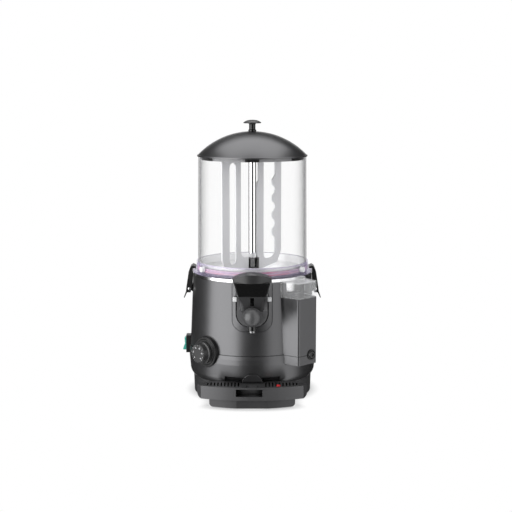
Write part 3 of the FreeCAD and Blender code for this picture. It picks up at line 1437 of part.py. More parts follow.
def build_thermostat():
    height, turn = s.dial_height, s.dial_azimuth
    hole = s.spindle_hole
    back = s.upper_foot_radius - 9
    bezel = radial("bezel_blank", [
        (back, hole),
        (back, s.bezel_radius),
        (s.bezel_reach - 3, s.bezel_radius),
        (s.bezel_reach - 2, s.bezel_radius - 1),
        (s.bezel_reach - 2, s.bezel_step + 2),
        (s.bezel_reach, s.bezel_step),
        (s.bezel_reach, hole),
    ], height, turn)
    piece("thermostat_bezel", cut("thermostat_bezel", bezel, envelope("bezel_back", 0)))
    skirt = s.bezel_reach + s.moving_gap
    dial = radial("dial_blank", [
        (skirt, 0),
        (skirt, s.dial_skirt),
        (skirt + 5, s.dial_skirt),
        (skirt + 6.5, s.dial_radius),
        (s.dial_reach - 1.5, s.dial_radius),
        (s.dial_reach, s.dial_radius - 1.5),
        (s.dial_reach, 0),
    ], height, turn)
    spindle = bar("dial_spindle", s.spindle_radius, s.regulator_front - 6, skirt + 9, 0, height, turn)
    piece("thermostat_knob", fuse("thermostat_knob", dial, spindle))
    regulator = block("regulator_case", s.regulator_half, s.regulator_back, s.regulator_front,
                      height - s.regulator_half, height + s.regulator_half, turn)
    bore = bar("regulator_bore", s.spindle_radius + s.running_gap, s.regulator_front - 6.3,
               s.regulator_front + 1, 0, height, turn)
    piece("thermostat_body", cut("thermostat_body", regulator, bore))


def build_switch():
    height = s.switch_height
    half_width = s.switch_half_width
    half_height = s.switch_half_height
    wall = s.switch_wall
    rim = block("switch_rim", half_width, s.belly_radius - 12, s.switch_reach,
                height - half_height, height + half_height, -90)
    opening = block("switch_opening", half_width - wall, s.belly_radius - 20, s.switch_reach + 1,
                    height - half_height + wall, height + half_height - wall, -90)
    outside = cut("switch_bezel", rim, opening, envelope("switch_back", 0))
    sleeve = block("switch_sleeve", half_width - wall, s.lower_rim_radius - 1, s.switch_reach - 1,
                   height - half_height + wall, height + half_height - wall, -90)
    sleeve_room = block("switch_sleeve_room", half_width - wall - 1, s.lower_rim_radius - 2,
                        s.switch_reach, height - half_height + wall + 1,
                        height + half_height - wall - 1, -90)
    case_half = half_width - wall
    case_low = height - half_height + wall
    case_high = height + half_height - wall
    case = block("switch_case", case_half, s.housing_back, s.lower_rim_radius - 1, case_low,
                 case_high, -90)
    lining = cut("switch_sleeve", sleeve, sleeve_room)
    bore = pin("rocker_bore", s.rocker_pin + s.fit_gap, case_half + s.moving_gap * 2, s.rocker_pivot,
               height, -90)
    piece("switch_body", cut("switch_body", fuse("switch_frame", outside, case, lining), bore))
    rocker_back = s.lower_rim_radius - 1 + s.moving_gap
    low = height - s.rocker_half
    high = height + s.rocker_half
    axle = pin("rocker_axle", s.rocker_pin, case_half + s.moving_gap, s.rocker_pivot, height, -90)
    piece("switch_rocker", fuse("switch_rocker", axle, side("rocker_blank", [
        (s.rocker_pivot + 1, low),
        (rocker_back, height),
        (s.rocker_pivot + 1, high),
        (s.rocker_reach - 1, high),
        (s.rocker_reach - 2, height),
        (s.rocker_tip, low + 1),
        (s.rocker_tip - 1, low),
    ], case_half - 1 - s.moving_gap, -90)))


def build_water_parts():
    azimuth = s.box_azimuth
    wall = 2
    low = s.box_head
    high = s.filler_top
    back_room = envelope("filler_back", s.fit_gap)
    outer = water_box("filler_outer", low, high)
    inner = water_box("filler_inner", low + 1.5, high - wall, wall)
    lip_room = water_box("filler_lip_room", low - s.filler_lip - 1, low + 2, wall + s.wall)
    lip = water_box("filler_lip_blank", low - s.filler_lip, low + 1, s.wall + s.moving_gap)
    knob = turned("filler_knob", [
        (0, high - wall),
        (s.filler_knob_radius, high - wall),
        (s.filler_knob_radius, high + 2),
        (s.filler_knob_radius - 3, high + 3),
        (s.filler_knob_radius - 3, high + 5),
        (s.filler_knob_radius, high + 6),
        (s.filler_knob_radius, s.filler_knob_top - 1),
        (s.filler_knob_radius - 1, s.filler_knob_top),
        (0, s.filler_knob_top),
    ], 0, azimuth)
    middle = (s.box_reach + s.upper_head_radius) / 2
    swing = math.radians(azimuth.number)
    knob.Placement.Base = Vector(middle.number * math.sin(swing),
                                 axis_shift.number - middle.number * math.cos(swing), 0)
    knob.setExpression("Placement.Base.x", f"{middle.text} * sin({azimuth.text})")
    knob.setExpression("Placement.Base.y",
                       f"{axis_shift.text} - {middle.text} * cos({azimuth.text})")
    shell = fuse("filler_cover", outer, lip, knob)
    neck_room = turned("filler_collar_room", [
        (0, s.shell_top - 16),
        (s.collar_radius + s.moving_gap, s.shell_top - 16),
        (s.collar_radius + s.moving_gap, high + 20),
        (0, high + 20),
    ])
    piece("filler_cover", cut("filler_cover", shell, inner, lip_room, back_room, neck_room))

    reach = s.box_reach
    plug = radial("drain_plug", [
        (reach - 8, 0),
        (reach - 8, s.drain_pipe_radius - 1 - s.moving_gap),
        (reach + 1.2 + s.fit_gap, s.drain_pipe_radius - 1 - s.moving_gap),
        (reach + 1.2 + s.fit_gap, s.drain_radius - 1.6 - s.moving_gap),
        (reach + 4, s.drain_radius - 3),
        (reach + 4.5, s.drain_radius - 4),
        (reach + 4.5, 3.5),
        (reach + 2.5, 3.5),
        (reach + 2.5, 0),
    ], s.drain_height, azimuth)
    shift_across(plug, s.drain_offset, azimuth)
    piece("drain_plug", plug)
    ring = radial("drain_flange", [
        (reach, s.drain_pipe_radius - 1),
        (reach, s.drain_radius),
        (reach + 2.6, s.drain_radius),
        (reach + 2.6, s.drain_radius - 1.6),
        (reach + 1.2, s.drain_radius - 1.6),
        (reach + 1.2, s.drain_pipe_radius - 1),
    ], s.drain_height, azimuth)
    shift_across(ring, s.drain_offset, azimuth)

    bend = s.drain_bend
    drop = rod("drain_drop", s.drain_pipe_radius, s.drain_height + bend, s.bath_floor - s.bath_sheet,
               s.drain_offset, s.drain_drop_radius, azimuth)
    run = bar("drain_run", s.drain_pipe_radius, s.drain_drop_radius + bend, reach,
              s.drain_offset, s.drain_height, azimuth)
    elbow = new_body("drain_elbow", 0, azimuth)
    sketch = new_sketch(elbow, "XZ_Plane", s.drain_drop_radius + bend)
    draw_circle(sketch, s.drain_offset, s.drain_height, s.drain_pipe_radius)
    axis = new_sketch(elbow, "XZ_Plane", s.drain_drop_radius + bend)
    high_line = s.drain_height + bend
    line = axis.addGeometry(Part.LineSegment(Vector(0, high_line.number, 0),
                                             Vector(20, high_line.number, 0)), False)
    for position, across in ((1, 0), (2, 20)):
        rule = axis.addConstraint(Sketcher.Constraint("DistanceX", -1, 1, line, position, across))
        rule = axis.addConstraint(Sketcher.Constraint("DistanceY", -1, 1, line, position,
                                                      high_line.number))
        bind(axis, f"Constraints[{rule}]", high_line)
    sweep = revolve(elbow, sketch)
    sweep.ReferenceAxis = (axis, ["Edge1"])
    sweep.Angle = 90
    pipe = fuse("drain_tube", drop, run, elbow, ring)
    bores = [
        rod("drain_drop_bore", s.drain_pipe_radius - 1, s.drain_height + bend + 1,
            s.bath_floor + 1, s.drain_offset, s.drain_drop_radius, azimuth),
        bar("drain_run_bore", s.drain_pipe_radius - 1, s.drain_drop_radius + bend + 1, reach + 1,
            s.drain_offset, s.drain_height, azimuth),
    ]
    piece("drain_tube", cut("drain_tube", pipe, *bores))


def shift_across(body, across, azimuth):
    """Moves a turned-out body sideways, square to its azimuth."""
    swing = math.radians(azimuth.number)
    body.Placement.Base = Vector(
        across.number * math.cos(swing), axis_shift.number + across.number * math.sin(swing),
        body.Placement.Base.z)
    body.setExpression("Placement.Base.x", f"{across.text} * cos({azimuth.text})")
    body.setExpression("Placement.Base.y",
                       f"{axis_shift.text} + {across.text} * sin({azimuth.text})")


# ---------------------------------------------------------------- drip tray

def tray_outline(shrink=0):
    """Plan of the tray, drawn inwards by a wall: bowed front, straight back, cut corners."""
    radius = s.tray_front_radius - shrink
    half = s.tray_half - shrink
    corner = s.tray_corner_half - shrink
    front_edge = s.tray_reach - s.tray_front_radius + leg(radius, corner)
    back = s.tray_back + shrink
    back_half = s.tray_back_half - shrink * 0.4
    return [
        (-back_half, back),
        (-half, s.tray_side_reach),
        (-corner, front_edge, radius),
        (corner, front_edge),
        (half, s.tray_side_reach),
        (back_half, back),
    ]


def build_tray():
    foot, top = s.tray_foot, s.tray_top
    blank = common("tray_blank", plan("tray_plan", tray_outline(), foot, top),
                   front("tray_front", u_shape(s.tray_half, foot, top, s.tray_round),
                         s.tray_back - 1, s.tray_reach + 1))
    ledge = top - s.grid_sheet
    well = common("tray_well",
                  plan("tray_hollow", tray_outline(s.tray_wall), foot + s.tray_floor, ledge + 1),
                  front("tray_hollow_front", u_shape(s.tray_half - s.tray_wall, foot + s.tray_floor,
                                                     ledge + 1, s.tray_round - s.tray_floor),
                        s.tray_back, s.tray_reach))
    rebate = plan("tray_rebate", tray_outline(s.tray_rim), ledge, top + 1)
    grip_back = s.tray_reach - s.grip_depth
    keep = block("grip_keep", s.grip_half + s.wall, grip_back - s.wall, s.tray_reach + 9,
                 foot, ledge, 0, s.grip_shift)
    keep_trim = common("grip_keep", keep, plan("grip_room", tray_outline(s.tray_rim), foot, ledge))
    grip = block("grip_hole", s.grip_half, grip_back, s.tray_reach + 9, s.grip_foot,
                 ledge - s.grip_roof, 0, s.grip_shift)
    scoop = block("grip_scoop", s.grip_half * 0.45, grip_back, s.tray_reach - 6, s.grip_foot,
                  top + 1)
    shell = fuse("drip_tray", cut("tray_shell", blank, well, rebate), keep_trim)
    piece("drip_tray", cut("drip_tray", shell, grip, scoop))

    plate = plan("grid_blank", tray_outline(s.tray_rim + s.moving_gap), ledge + s.moving_gap / 3,
                 top)
    field = plan("grid_field", tray_outline(s.tray_wall + s.slot_margin), ledge - 1, top + 1)
    count = int(2 * (SIZES["tray_half"] - 20) / SIZES["slot_pitch"])
    slots = []
    for index in range(count + 1):
        across = s.slot_pitch * (index - count / 2)
        if abs(across.number) < SIZES["grip_half"] + SIZES["slot_margin"] - 6:
            continue
        slots.append(block(f"grid_slot{index}", s.slot_width / 2, 60, s.tray_reach,
                           ledge - 2, top + 2, 0, across))
    comb = group("grid_comb", *slots)
    scoop_room = block("grid_scoop_room", s.grip_half * 0.45 + s.moving_gap,
                       grip_back - s.moving_gap, s.tray_reach + 9, ledge - 1, top + 1)
    float_hole = rod("grid_float_hole", s.float_radius + 1, ledge - 1, top + 1, s.float_x,
                     s.float_reach)
    lip_room = block("grid_lip_room", s.lip_radius + s.tray_clear, s.tray_back,
                     s.lip_reach + s.tray_clear, ledge - 1, top + 1)
    piece("tray_grid", cut("tray_grid", plate, common("grid_slots", field, comb), scoop_room,
                           float_hole, lip_room))
    stick = rod("float_stick", s.float_radius * 0.5, foot + s.tray_floor + s.moving_gap,
                s.float_top - 3, s.float_x, s.float_reach)
    head = rod("float_head", s.float_radius, s.float_top - 4, s.float_top, s.float_x, s.float_reach)
    raft = rod("float_raft", s.float_radius + 2.5, foot + s.tray_floor + s.moving_gap,
               foot + s.tray_floor + 7, s.float_x, s.float_reach)
    piece("tray_float", fuse("tray_float", stick, head, raft))


def build_gland():
    reach = s.belly_radius
    gland = radial("cable_gland_blank", [
        (reach - 16, s.gland_radius - s.wall - 2.5),
        (reach - 16, s.gland_radius - s.wall),
        (reach, s.gland_radius - s.wall),
        (reach, s.gland_radius),
        (reach + 3, s.gland_radius),
        (reach + s.gland_length, s.gland_radius - 2),
        (reach + s.gland_length, s.gland_radius - s.wall - 2.5),
    ], s.gland_height, 180)
    piece("mains_gland", gland)


def build_all():
    build_base()
    build_lower_shell()
    build_upper_shell()
    build_bath()
    build_drive()
    build_tank()
    build_paddle()
    build_lid()
    build_tap_valve()
    build_tap_covers()
    build_tap_lever()
    build_latch("latch_right", 90)
    build_latch("latch_left", -90)
    build_latch_hardware()
    build_thermostat()
    build_switch()
    build_water_parts()
    build_tray()
    build_gland()


def check_and_write():
    """Stops on any failed object or bad solid, then writes one file for each piece."""
    doc.recompute()
    failed = [item.Name for item in doc.Objects
              if "Invalid" in item.State or "Error" in item.State]
    if failed:
        raise RuntimeError("did not compute: " + ", ".join(failed))
    hollow = [name for name, thing in pieces
              if thing.Shape.isNull() or not thing.Shape.isValid() or not thing.Shape.Solids]
    if hollow:
        raise RuntimeError("no valid solid: " + ", ".join(hollow))
    os.makedirs("parts", exist_ok=True)
    for name, thing in pieces:
        thing.Shape.exportStep(f"parts/{name}.step")
    print(f"{len(pieces)} pieces written")


build_all()
check_and_write()
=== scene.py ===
import math

import bmesh
import bpy
from mathutils import Matrix, Vector
from mathutils.bvhtree import BVHTree


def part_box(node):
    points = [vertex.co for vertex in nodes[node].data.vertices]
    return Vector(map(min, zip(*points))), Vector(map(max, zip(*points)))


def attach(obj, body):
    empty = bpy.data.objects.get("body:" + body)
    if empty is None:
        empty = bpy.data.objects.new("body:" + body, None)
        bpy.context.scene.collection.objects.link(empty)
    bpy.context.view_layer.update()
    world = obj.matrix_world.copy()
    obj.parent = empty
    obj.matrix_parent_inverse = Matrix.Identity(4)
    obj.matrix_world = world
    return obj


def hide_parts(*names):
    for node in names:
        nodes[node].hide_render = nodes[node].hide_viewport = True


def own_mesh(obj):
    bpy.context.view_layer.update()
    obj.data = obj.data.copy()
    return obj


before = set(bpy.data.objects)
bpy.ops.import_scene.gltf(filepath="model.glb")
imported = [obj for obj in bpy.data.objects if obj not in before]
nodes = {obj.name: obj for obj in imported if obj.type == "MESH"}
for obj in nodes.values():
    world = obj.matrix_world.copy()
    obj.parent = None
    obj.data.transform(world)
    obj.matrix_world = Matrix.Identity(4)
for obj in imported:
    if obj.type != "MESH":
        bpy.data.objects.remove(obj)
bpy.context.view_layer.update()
scene = bpy.context.scene
millimetre = 0.001
white = (1, 1, 1, 1)
up = Vector((0, 0, 1))


def centreOf(name):
    low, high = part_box(name)
    return (low + high) / 2


axisY = centreOf("drive_shaft").y  # the tank's axis stands at x = 0 and this y
print("frame loaded:", len(nodes), "nodes")


# helpers for shader and geometry nodes

def feed(tree, socket, value):
    # a plain value goes onto the socket, an output is linked to it
    if isinstance(value, (int, float, tuple)):
        socket.default_value = value
    else:
        tree.links.new(value, socket)


def mathNode(tree, operation, *values):
    node = tree.nodes.new("ShaderNodeMath")
    node.operation = operation
    for socket, value in zip(node.inputs, values):
        feed(tree, socket, value)
    return node.outputs[0]


def mapRange(tree, value, low, high, newLow=0.0, newHigh=1.0, shape="LINEAR"):
    node = tree.nodes.new("ShaderNodeMapRange")
    node.interpolation_type = shape
    for label, item in (("Value", value), ("From Min", low), ("From Max", high),
                        ("To Min", newLow), ("To Max", newHigh)):
        feed(tree, node.inputs[label], item)
    return node.outputs["Result"]


def mixColour(tree, factor, first, second):
    node = tree.nodes.new("ShaderNodeMix")
    node.data_type = "RGBA"
    for label, item in (("Factor", factor), ("A", first), ("B", second)):
        feed(tree, node.inputs[label], item)
    return node.outputs["Result"]


def addNoise(tree, scale, detail, vector, roughness=0.5):
    noise = tree.nodes.new("ShaderNodeTexNoise")
    for label, item in (("Scale", scale), ("Detail", detail), ("Vector", vector),
                        ("Roughness", roughness)):
        feed(tree, noise.inputs[label], item)
    return noise.outputs["Fac"]


def shadeReach(tree, reach, samples):
    # how open the surroundings are: 1 in the open, lower in a crevice
    node = tree.nodes.new("ShaderNodeAmbientOcclusion")
    node.samples = samples
    feed(tree, node.inputs["Distance"], reach)
    return node.outputs["AO"]


def objectVector(tree, stretch=(1, 1, 1)):
    coordinates = tree.nodes.new("ShaderNodeTexCoord")
    mapping = tree.nodes.new("ShaderNodeMapping")
    mapping.inputs["Scale"].default_value = stretch
    tree.links.new(coordinates.outputs["Object"], mapping.inputs["Vector"])
    return mapping.outputs["Vector"]


def setInputs(node, values):
    for label, value in values.items():
        node.inputs[label].default_value = value


# camera, floor and light

view = {
    "distance": 2.4,  # from the tank's axis
    "height": 0.65,
    "tiltDown": 8.526,
    "lens": 79.7,
    "sensor": 36,
    "sideStep": 0.0078,
}

camera = bpy.data.objects.new("camera", bpy.data.cameras.new("camera"))
scene.collection.objects.link(camera)
camera.data.lens = view["lens"]
camera.data.sensor_width = view["sensor"]
camera.location = (view["sideStep"], axisY - view["distance"], view["height"])
camera.rotation_euler = (math.radians(90 - view["tiltDown"]), 0, 0)
scene.camera = camera
scene.view_settings.view_transform = "Standard"

studio = {
    "floorSize": 8.0,
    "floorReach": 0.022,  # how far the soft contact shade spreads
    "floorShade": (0.12, 0.12, 0.125, 1),
    "floorFade": 0.75,
    "floorBounce": (0.75, 0.75, 0.75, 1),
    "floorSamples": 12,
    "floorDrop": 0.0002,  # just under the feet
    "aimHeight": 0.27,
}

room = {
    "diffuse": 0.85,  # how much it lights dull surfaces
    "leftWall": 1.0,  # how bright each part of the room looks in a reflection
    "rightWall": 1.35,
    "ceiling": 0.12,
    "backdrop": 1.0,
    "flag": 0.02,
    "leftStart": 22,  # from here on all are degrees: sideways from the camera, or of height
    "rightStart": 27,
    "wallBlur": 6,
    "wallEnd": 92,
    "wallEndBlur": 9,
    "sideBlur": 5,
    "ceilingStart": 34,
    "ceilingFull": 56,
    "backdropStart": 166,
    "backdropBlur": 5,
    "backdropTop": 15,
    "backdropTopBlur": 6,
}

softboxes = [
    {"name": "keyLeft", "turn": -54, "height": 0.45, "distance": 1.7, "width": 2.0,
     "tall": 2.1, "watts": 29, "inGloss": True},
    {"name": "topBox", "turn": 180, "height": 2.1, "distance": 0.6, "width": 2.1,
     "tall": 1.5, "watts": 19, "inGloss": True},
    {"name": "backBox", "turn": 168, "height": 1.9, "distance": 1.5, "width": 1.4,
     "tall": 0.8, "watts": 8, "inGloss": False},
]


def aimAt(item, target):
    item.rotation_euler = (Vector(target) - item.location).to_track_quat("-Z", "Y").to_euler()


for box in softboxes:
    lamp = bpy.data.lights.new(box["name"], "AREA")
    lamp.shape = "RECTANGLE"
    lamp.size = box["width"]
    lamp.size_y = box["tall"]
    lamp.energy = box["watts"]
    lampObject = bpy.data.objects.new(box["name"], lamp)
    scene.collection.objects.link(lampObject)
    swing = math.radians(box["turn"])
    lampObject.location = (box["distance"] * math.sin(swing),
                           axisY - box["distance"] * math.cos(swing), box["height"])
    aimAt(lampObject, (0, axisY, studio["aimHeight"]))
    lampObject.visible_camera = False
    lampObject.visible_glossy = box["inGloss"]


def studioWorld():
    # white to the eye and through clear parts; panels, ceiling and black flags in reflections
    world = bpy.data.worlds.new("studioRoom")
    world.use_nodes = True
    tree = world.node_tree
    tree.nodes.clear()

    def times(first, second):
        return mathNode(tree, "MULTIPLY", first, second)

    def larger(first, second):
        return mathNode(tree, "MAXIMUM", first, second)

    def past(value, edge, blur):
        # rises from 0 to 1 through the edge, or falls through it where the blur is negative
        return mapRange(tree, value, edge - blur, edge + blur, shape="SMOOTHSTEP")

    direction = tree.nodes.new("ShaderNodeSeparateXYZ")
    tree.links.new(tree.nodes.new("ShaderNodeTexCoord").outputs["Generated"], direction.inputs[0])
    forward = times(direction.outputs["Y"], -1.0)
    toDegrees = 180 / math.pi
    turn = times(mathNode(tree, "ARCTAN2", direction.outputs["X"], forward), toDegrees)
    rise = times(mathNode(tree, "ARCSINE", direction.outputs["Z"]), toDegrees)
    aside = mathNode(tree, "ABSOLUTE", turn)

    panels = larger(past(turn, room["rightStart"], room["wallBlur"]),
                    past(turn, -room["leftStart"], -room["wallBlur"]))
    wall = times(panels, past(aside, room["wallEnd"], -room["wallEndBlur"]))
    onRight = past(turn, 0, room["sideBlur"])
    onLeft = mathNode(tree, "SUBTRACT", 1.0, onRight)
    wall = times(wall, mathNode(tree, "ADD", times(onLeft, room["leftWall"]),
                                times(onRight, room["rightWall"])))
    above = times(mapRange(tree, rise, room["ceilingStart"], room["ceilingFull"],
                           shape="SMOOTHSTEP"), room["ceiling"])
    behind = times(past(aside, room["backdropStart"], room["backdropBlur"]),
                   past(rise, room["backdropTop"], -room["backdropTopBlur"]))
    glow = larger(larger(wall, above), larger(times(behind, room["backdrop"]), room["flag"]))

    path = tree.nodes.new("ShaderNodeLightPath")
    glossy = path.outputs["Is Glossy Ray"]
    dull = times(mathNode(tree, "SUBTRACT", 1.0, glossy), room["diffuse"])
    seen = larger(path.outputs["Is Camera Ray"], path.outputs["Is Transmission Ray"])
    background = tree.nodes.new("ShaderNodeBackground")
    background.inputs["Color"].default_value = white
    tree.links.new(larger(mathNode(tree, "ADD", times(glossy, glow), dull), seen),
                   background.inputs["Strength"])
    output = tree.nodes.new("ShaderNodeOutputWorld")
    tree.links.new(background.outputs[0], output.inputs["Surface"])
    scene.world = world


def floorMaterial():
    # white to the eye, with a soft shade where the part touches it
    material = bpy.data.materials.new("paperFloor")
    material.use_nodes = True
    tree = material.node_tree
    tree.nodes.clear()
    contact = shadeReach(tree, studio["floorReach"], studio["floorSamples"])
    seen = tree.nodes.new("ShaderNodeEmission")
    tree.links.new(mixColour(tree, mathNode(tree, "POWER", contact, studio["floorFade"]),
                             studio["floorShade"], white), seen.inputs["Color"])
    bounce = tree.nodes.new("ShaderNodeBsdfDiffuse")
    bounce.inputs["Color"].default_value = studio["floorBounce"]
    path = tree.nodes.new("ShaderNodeLightPath")
    mix = tree.nodes.new("ShaderNodeMixShader")
    tree.links.new(path.outputs["Is Camera Ray"], mix.inputs["Fac"])
    tree.links.new(bounce.outputs[0], mix.inputs[1])
    tree.links.new(seen.outputs[0], mix.inputs[2])
    output = tree.nodes.new("ShaderNodeOutputMaterial")
    tree.links.new(mix.outputs[0], output.inputs["Surface"])
    return material


studioWorld()
floorMesh = bpy.data.meshes.new("floor")
halfFloor = studio["floorSize"] / 2
floorMesh.from_pydata([(-halfFloor, -halfFloor, 0), (halfFloor, -halfFloor, 0),
                       (halfFloor, halfFloor, 0), (-halfFloor, halfFloor, 0)], [], [(0, 1, 2, 3)])
floor = bpy.data.objects.new("floor", floorMesh)
scene.collection.objects.link(floor)
floor.location.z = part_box("rubber_feet")[0].z - studio["floorDrop"]
floor.visible_glossy = False  # reflections see the room's white walls in its place
floor.visible_shadow = False
floorMesh.materials.append(floorMaterial())
print("studio ready")


# shader groups shared by the materials

def startGroup(name, inputs, outputs):
    tree = bpy.data.node_groups.new(name, "ShaderNodeTree")
    for label, kind, value in inputs:
        tree.interface.new_socket(label, in_out="INPUT", socket_type=kind).default_value = value
    for label, kind in outputs:
        tree.interface.new_socket(label, in_out="OUTPUT", socket_type=kind)
    return tree, tree.nodes.new("NodeGroupInput"), tree.nodes.new("NodeGroupOutput")


surfaceOutputs = [("Colour", "NodeSocketColor"), ("Roughness", "NodeSocketFloat"),
                  ("Height", "NodeSocketFloat")]

skin = {
    "cloudScale": 14,
    "cloudRange": (0.35, 0.65),
    "cloudShare": 0.65,
    "speckScale": 900,
    "speckRange": (0.62, 0.72),
    "speckShare": 0.35,
    "openRange": (0.4, 0.88),  # from a deep crevice to an open surface, over which shade is painted
    "paintedShadeColour": (0.002, 0.002, 0.002, 1),
    "paintedShadeSamples": 8,
    "roughRange": (0.3, 0.7),
}


def mouldedSkinGroup():
    # satin plastic or paint: a fine grain, soft clouds, specks, and painted shade that darkens its
    # crevices
    tree, given, out = startGroup(
        "mouldedSkin",
        [("Colour", "NodeSocketColor", (0.1, 0.1, 0.1, 1)),
         ("Cloud colour", "NodeSocketColor", (0.12, 0.12, 0.12, 1)),
         ("Grain scale", "NodeSocketFloat", 1500.0),
         ("Grain height", "NodeSocketFloat", 0.4),
         ("Painted shade reach", "NodeSocketFloat", 0.007),
         ("Painted crevice shade", "NodeSocketFloat", 0.25),
         ("Roughness low", "NodeSocketFloat", 0.35),
         ("Roughness high", "NodeSocketFloat", 0.45)],
        surfaceOutputs)
    vector = objectVector(tree)
    grain = addNoise(tree, given.outputs["Grain scale"], 2, vector)
    cloud = addNoise(tree, skin["cloudScale"], 3, vector)
    speck = mapRange(tree, addNoise(tree, skin["speckScale"], 1, vector), *skin["speckRange"],
                     0, skin["speckShare"])
    clouds = mapRange(tree, cloud, *skin["cloudRange"], 0, skin["cloudShare"])
    blend = mathNode(tree, "ADD", clouds, speck)
    surface = mixColour(tree, blend, given.outputs["Colour"], given.outputs["Cloud colour"])
    # painted shade: the colour goes towards black where the surface is closed in, as in seams,
    # slots and pockets
    clearance = shadeReach(tree, given.outputs["Painted shade reach"], skin["paintedShadeSamples"])
    openness = mapRange(tree, clearance, *skin["openRange"], given.outputs["Painted crevice shade"], 1)
    tree.links.new(mixColour(tree, openness, skin["paintedShadeColour"], surface), out.inputs["Colour"])
    tree.links.new(mapRange(tree, cloud, *skin["roughRange"], given.outputs["Roughness low"],
                            given.outputs["Roughness high"]), out.inputs["Roughness"])
    tree.links.new(mathNode(tree, "MULTIPLY", grain, given.outputs["Grain height"]),
                   out.inputs["Height"])
    return tree


gloss = {
    "smearScale": 38,
    "smearRange": (0.35, 0.7),
    "smearRoughness": 0.6,
    "speckScale": 1400,
    "speckRange": (0.64, 0.74),
    "waveScale": 220,
}


def handledGlossGroup():
    # smooth plastic with smears from hands and a little dust
    tree, given, out = startGroup(
        "handledGloss",
        [("Colour", "NodeSocketColor", (0.02, 0.02, 0.02, 1)),
         ("Dust colour", "NodeSocketColor", (0.1, 0.1, 0.1, 1)),
         ("Dust", "NodeSocketFloat", 0.15),
         ("Roughness low", "NodeSocketFloat", 0.08),
         ("Roughness high", "NodeSocketFloat", 0.22)],
        surfaceOutputs)
    vector = objectVector(tree)
    smear = addNoise(tree, gloss["smearScale"], 4, vector, gloss["smearRoughness"])
    speck = mapRange(tree, addNoise(tree, gloss["speckScale"], 2, vector), *gloss["speckRange"])
    dust = mathNode(tree, "MULTIPLY", speck, given.outputs["Dust"])
    tree.links.new(mixColour(tree, dust, given.outputs["Colour"], given.outputs["Dust colour"]),
                   out.inputs["Colour"])
    tree.links.new(mapRange(tree, smear, *gloss["smearRange"], given.outputs["Roughness low"],
                            given.outputs["Roughness high"]), out.inputs["Roughness"])
    tree.links.new(addNoise(tree, gloss["waveScale"], 1, vector), out.inputs["Height"])
    return tree


steel = {
    "stretch": (0.03, 0.03, 1),
    "streakRange": (0.4, 0.7),
    "streakShare": 0.8,
    "stainScale": 20,
    "roughRange": (0.35, 0.65),
}


def spunSteelGroup():
    # metal with fine level lines round it, some of them darker, and faint stains
    tree, given, out = startGroup(
        "spunSteel",
        [("Colour", "NodeSocketColor", (0.8, 0.8, 0.8, 1)),
         ("Streak colour", "NodeSocketColor", (0.6, 0.6, 0.6, 1)),
         ("Line scale", "NodeSocketFloat", 1600.0),
         ("Roughness low", "NodeSocketFloat", 0.12),
         ("Roughness high", "NodeSocketFloat", 0.3)],
        surfaceOutputs)
    lines = addNoise(tree, given.outputs["Line scale"], 2, objectVector(tree, steel["stretch"]))
    stain = addNoise(tree, steel["stainScale"], 3, objectVector(tree))
    streak = mapRange(tree, lines, *steel["streakRange"], 0, steel["streakShare"])
    tree.links.new(mixColour(tree, streak, given.outputs["Colour"], given.outputs["Streak colour"]),
                   out.inputs["Colour"])
    both = mathNode(tree, "MULTIPLY", mathNode(tree, "ADD", lines, stain), 0.5)
    tree.links.new(mapRange(tree, both, *steel["roughRange"], given.outputs["Roughness low"],
                            given.outputs["Roughness high"]), out.inputs["Roughness"])
    tree.links.new(lines, out.inputs["Height"])
    return tree


wear = {
    "samples": 4,
    "bend": (0.99, 0.8),  # how alike the true and the rounded normal are, from flat to edge
    "breakRange": (0.35, 0.6),
    "leastWear": 0.2,
}


# the edge mask is wear on opaque finishes and a painted highlight on clear plastics
def wornAndHighlitEdgeGroup():
    # a mask of the edges, broken up, and a normal that rounds them
    tree, given, out = startGroup(
        "wornAndHighlitEdge",
        [("Radius", "NodeSocketFloat", 0.0008), ("Break-up scale", "NodeSocketFloat", 260.0)],
        [("Edge", "NodeSocketFloat"), ("Normal", "NodeSocketVector")])
    rounded = tree.nodes.new("ShaderNodeBevel")
    rounded.samples = wear["samples"]
    tree.links.new(given.outputs["Radius"], rounded.inputs["Radius"])
    surface = tree.nodes.new("ShaderNodeNewGeometry")
    dot = tree.nodes.new("ShaderNodeVectorMath")
    dot.operation = "DOT_PRODUCT"
    tree.links.new(rounded.outputs["Normal"], dot.inputs[0])
    tree.links.new(surface.outputs["Normal"], dot.inputs[1])
    bent = mapRange(tree, dot.outputs["Value"], *wear["bend"])
    broken = mapRange(tree, addNoise(tree, given.outputs["Break-up scale"], 2, objectVector(tree)),
                      *wear["breakRange"], wear["leastWear"], 1)
    tree.links.new(mathNode(tree, "MULTIPLY", bent, broken), out.inputs["Edge"])
    tree.links.new(rounded.outputs["Normal"], out.inputs["Normal"])
    return tree


groups = {
    "skin": mouldedSkinGroup(),
    "gloss": handledGlossGroup(),
    "steel": spunSteelGroup(),
    "edge": wornAndHighlitEdgeGroup(),
}


def startMaterial(name):
    material = bpy.data.materials.new(name)
    material.use_nodes = True
    tree = material.node_tree
    return material, tree, tree.nodes["Principled BSDF"]


def placeGroup(tree, group, values):
    node = tree.nodes.new("ShaderNodeGroup")
    node.node_tree = groups[group]
    setInputs(node, values)
    return node


def addBump(tree, shader, height, strength, distance):
    bump = tree.nodes.new("ShaderNodeBump")
    setInputs(bump, {"Strength": strength, "Distance": distance})
    tree.links.new(height, bump.inputs["Height"])
    tree.links.new(bump.outputs["Normal"], shader.inputs["Normal"])
    return bump


def grey(level, blueShift=0.0):
    return (level, level, level * (1 + blueShift), 1)


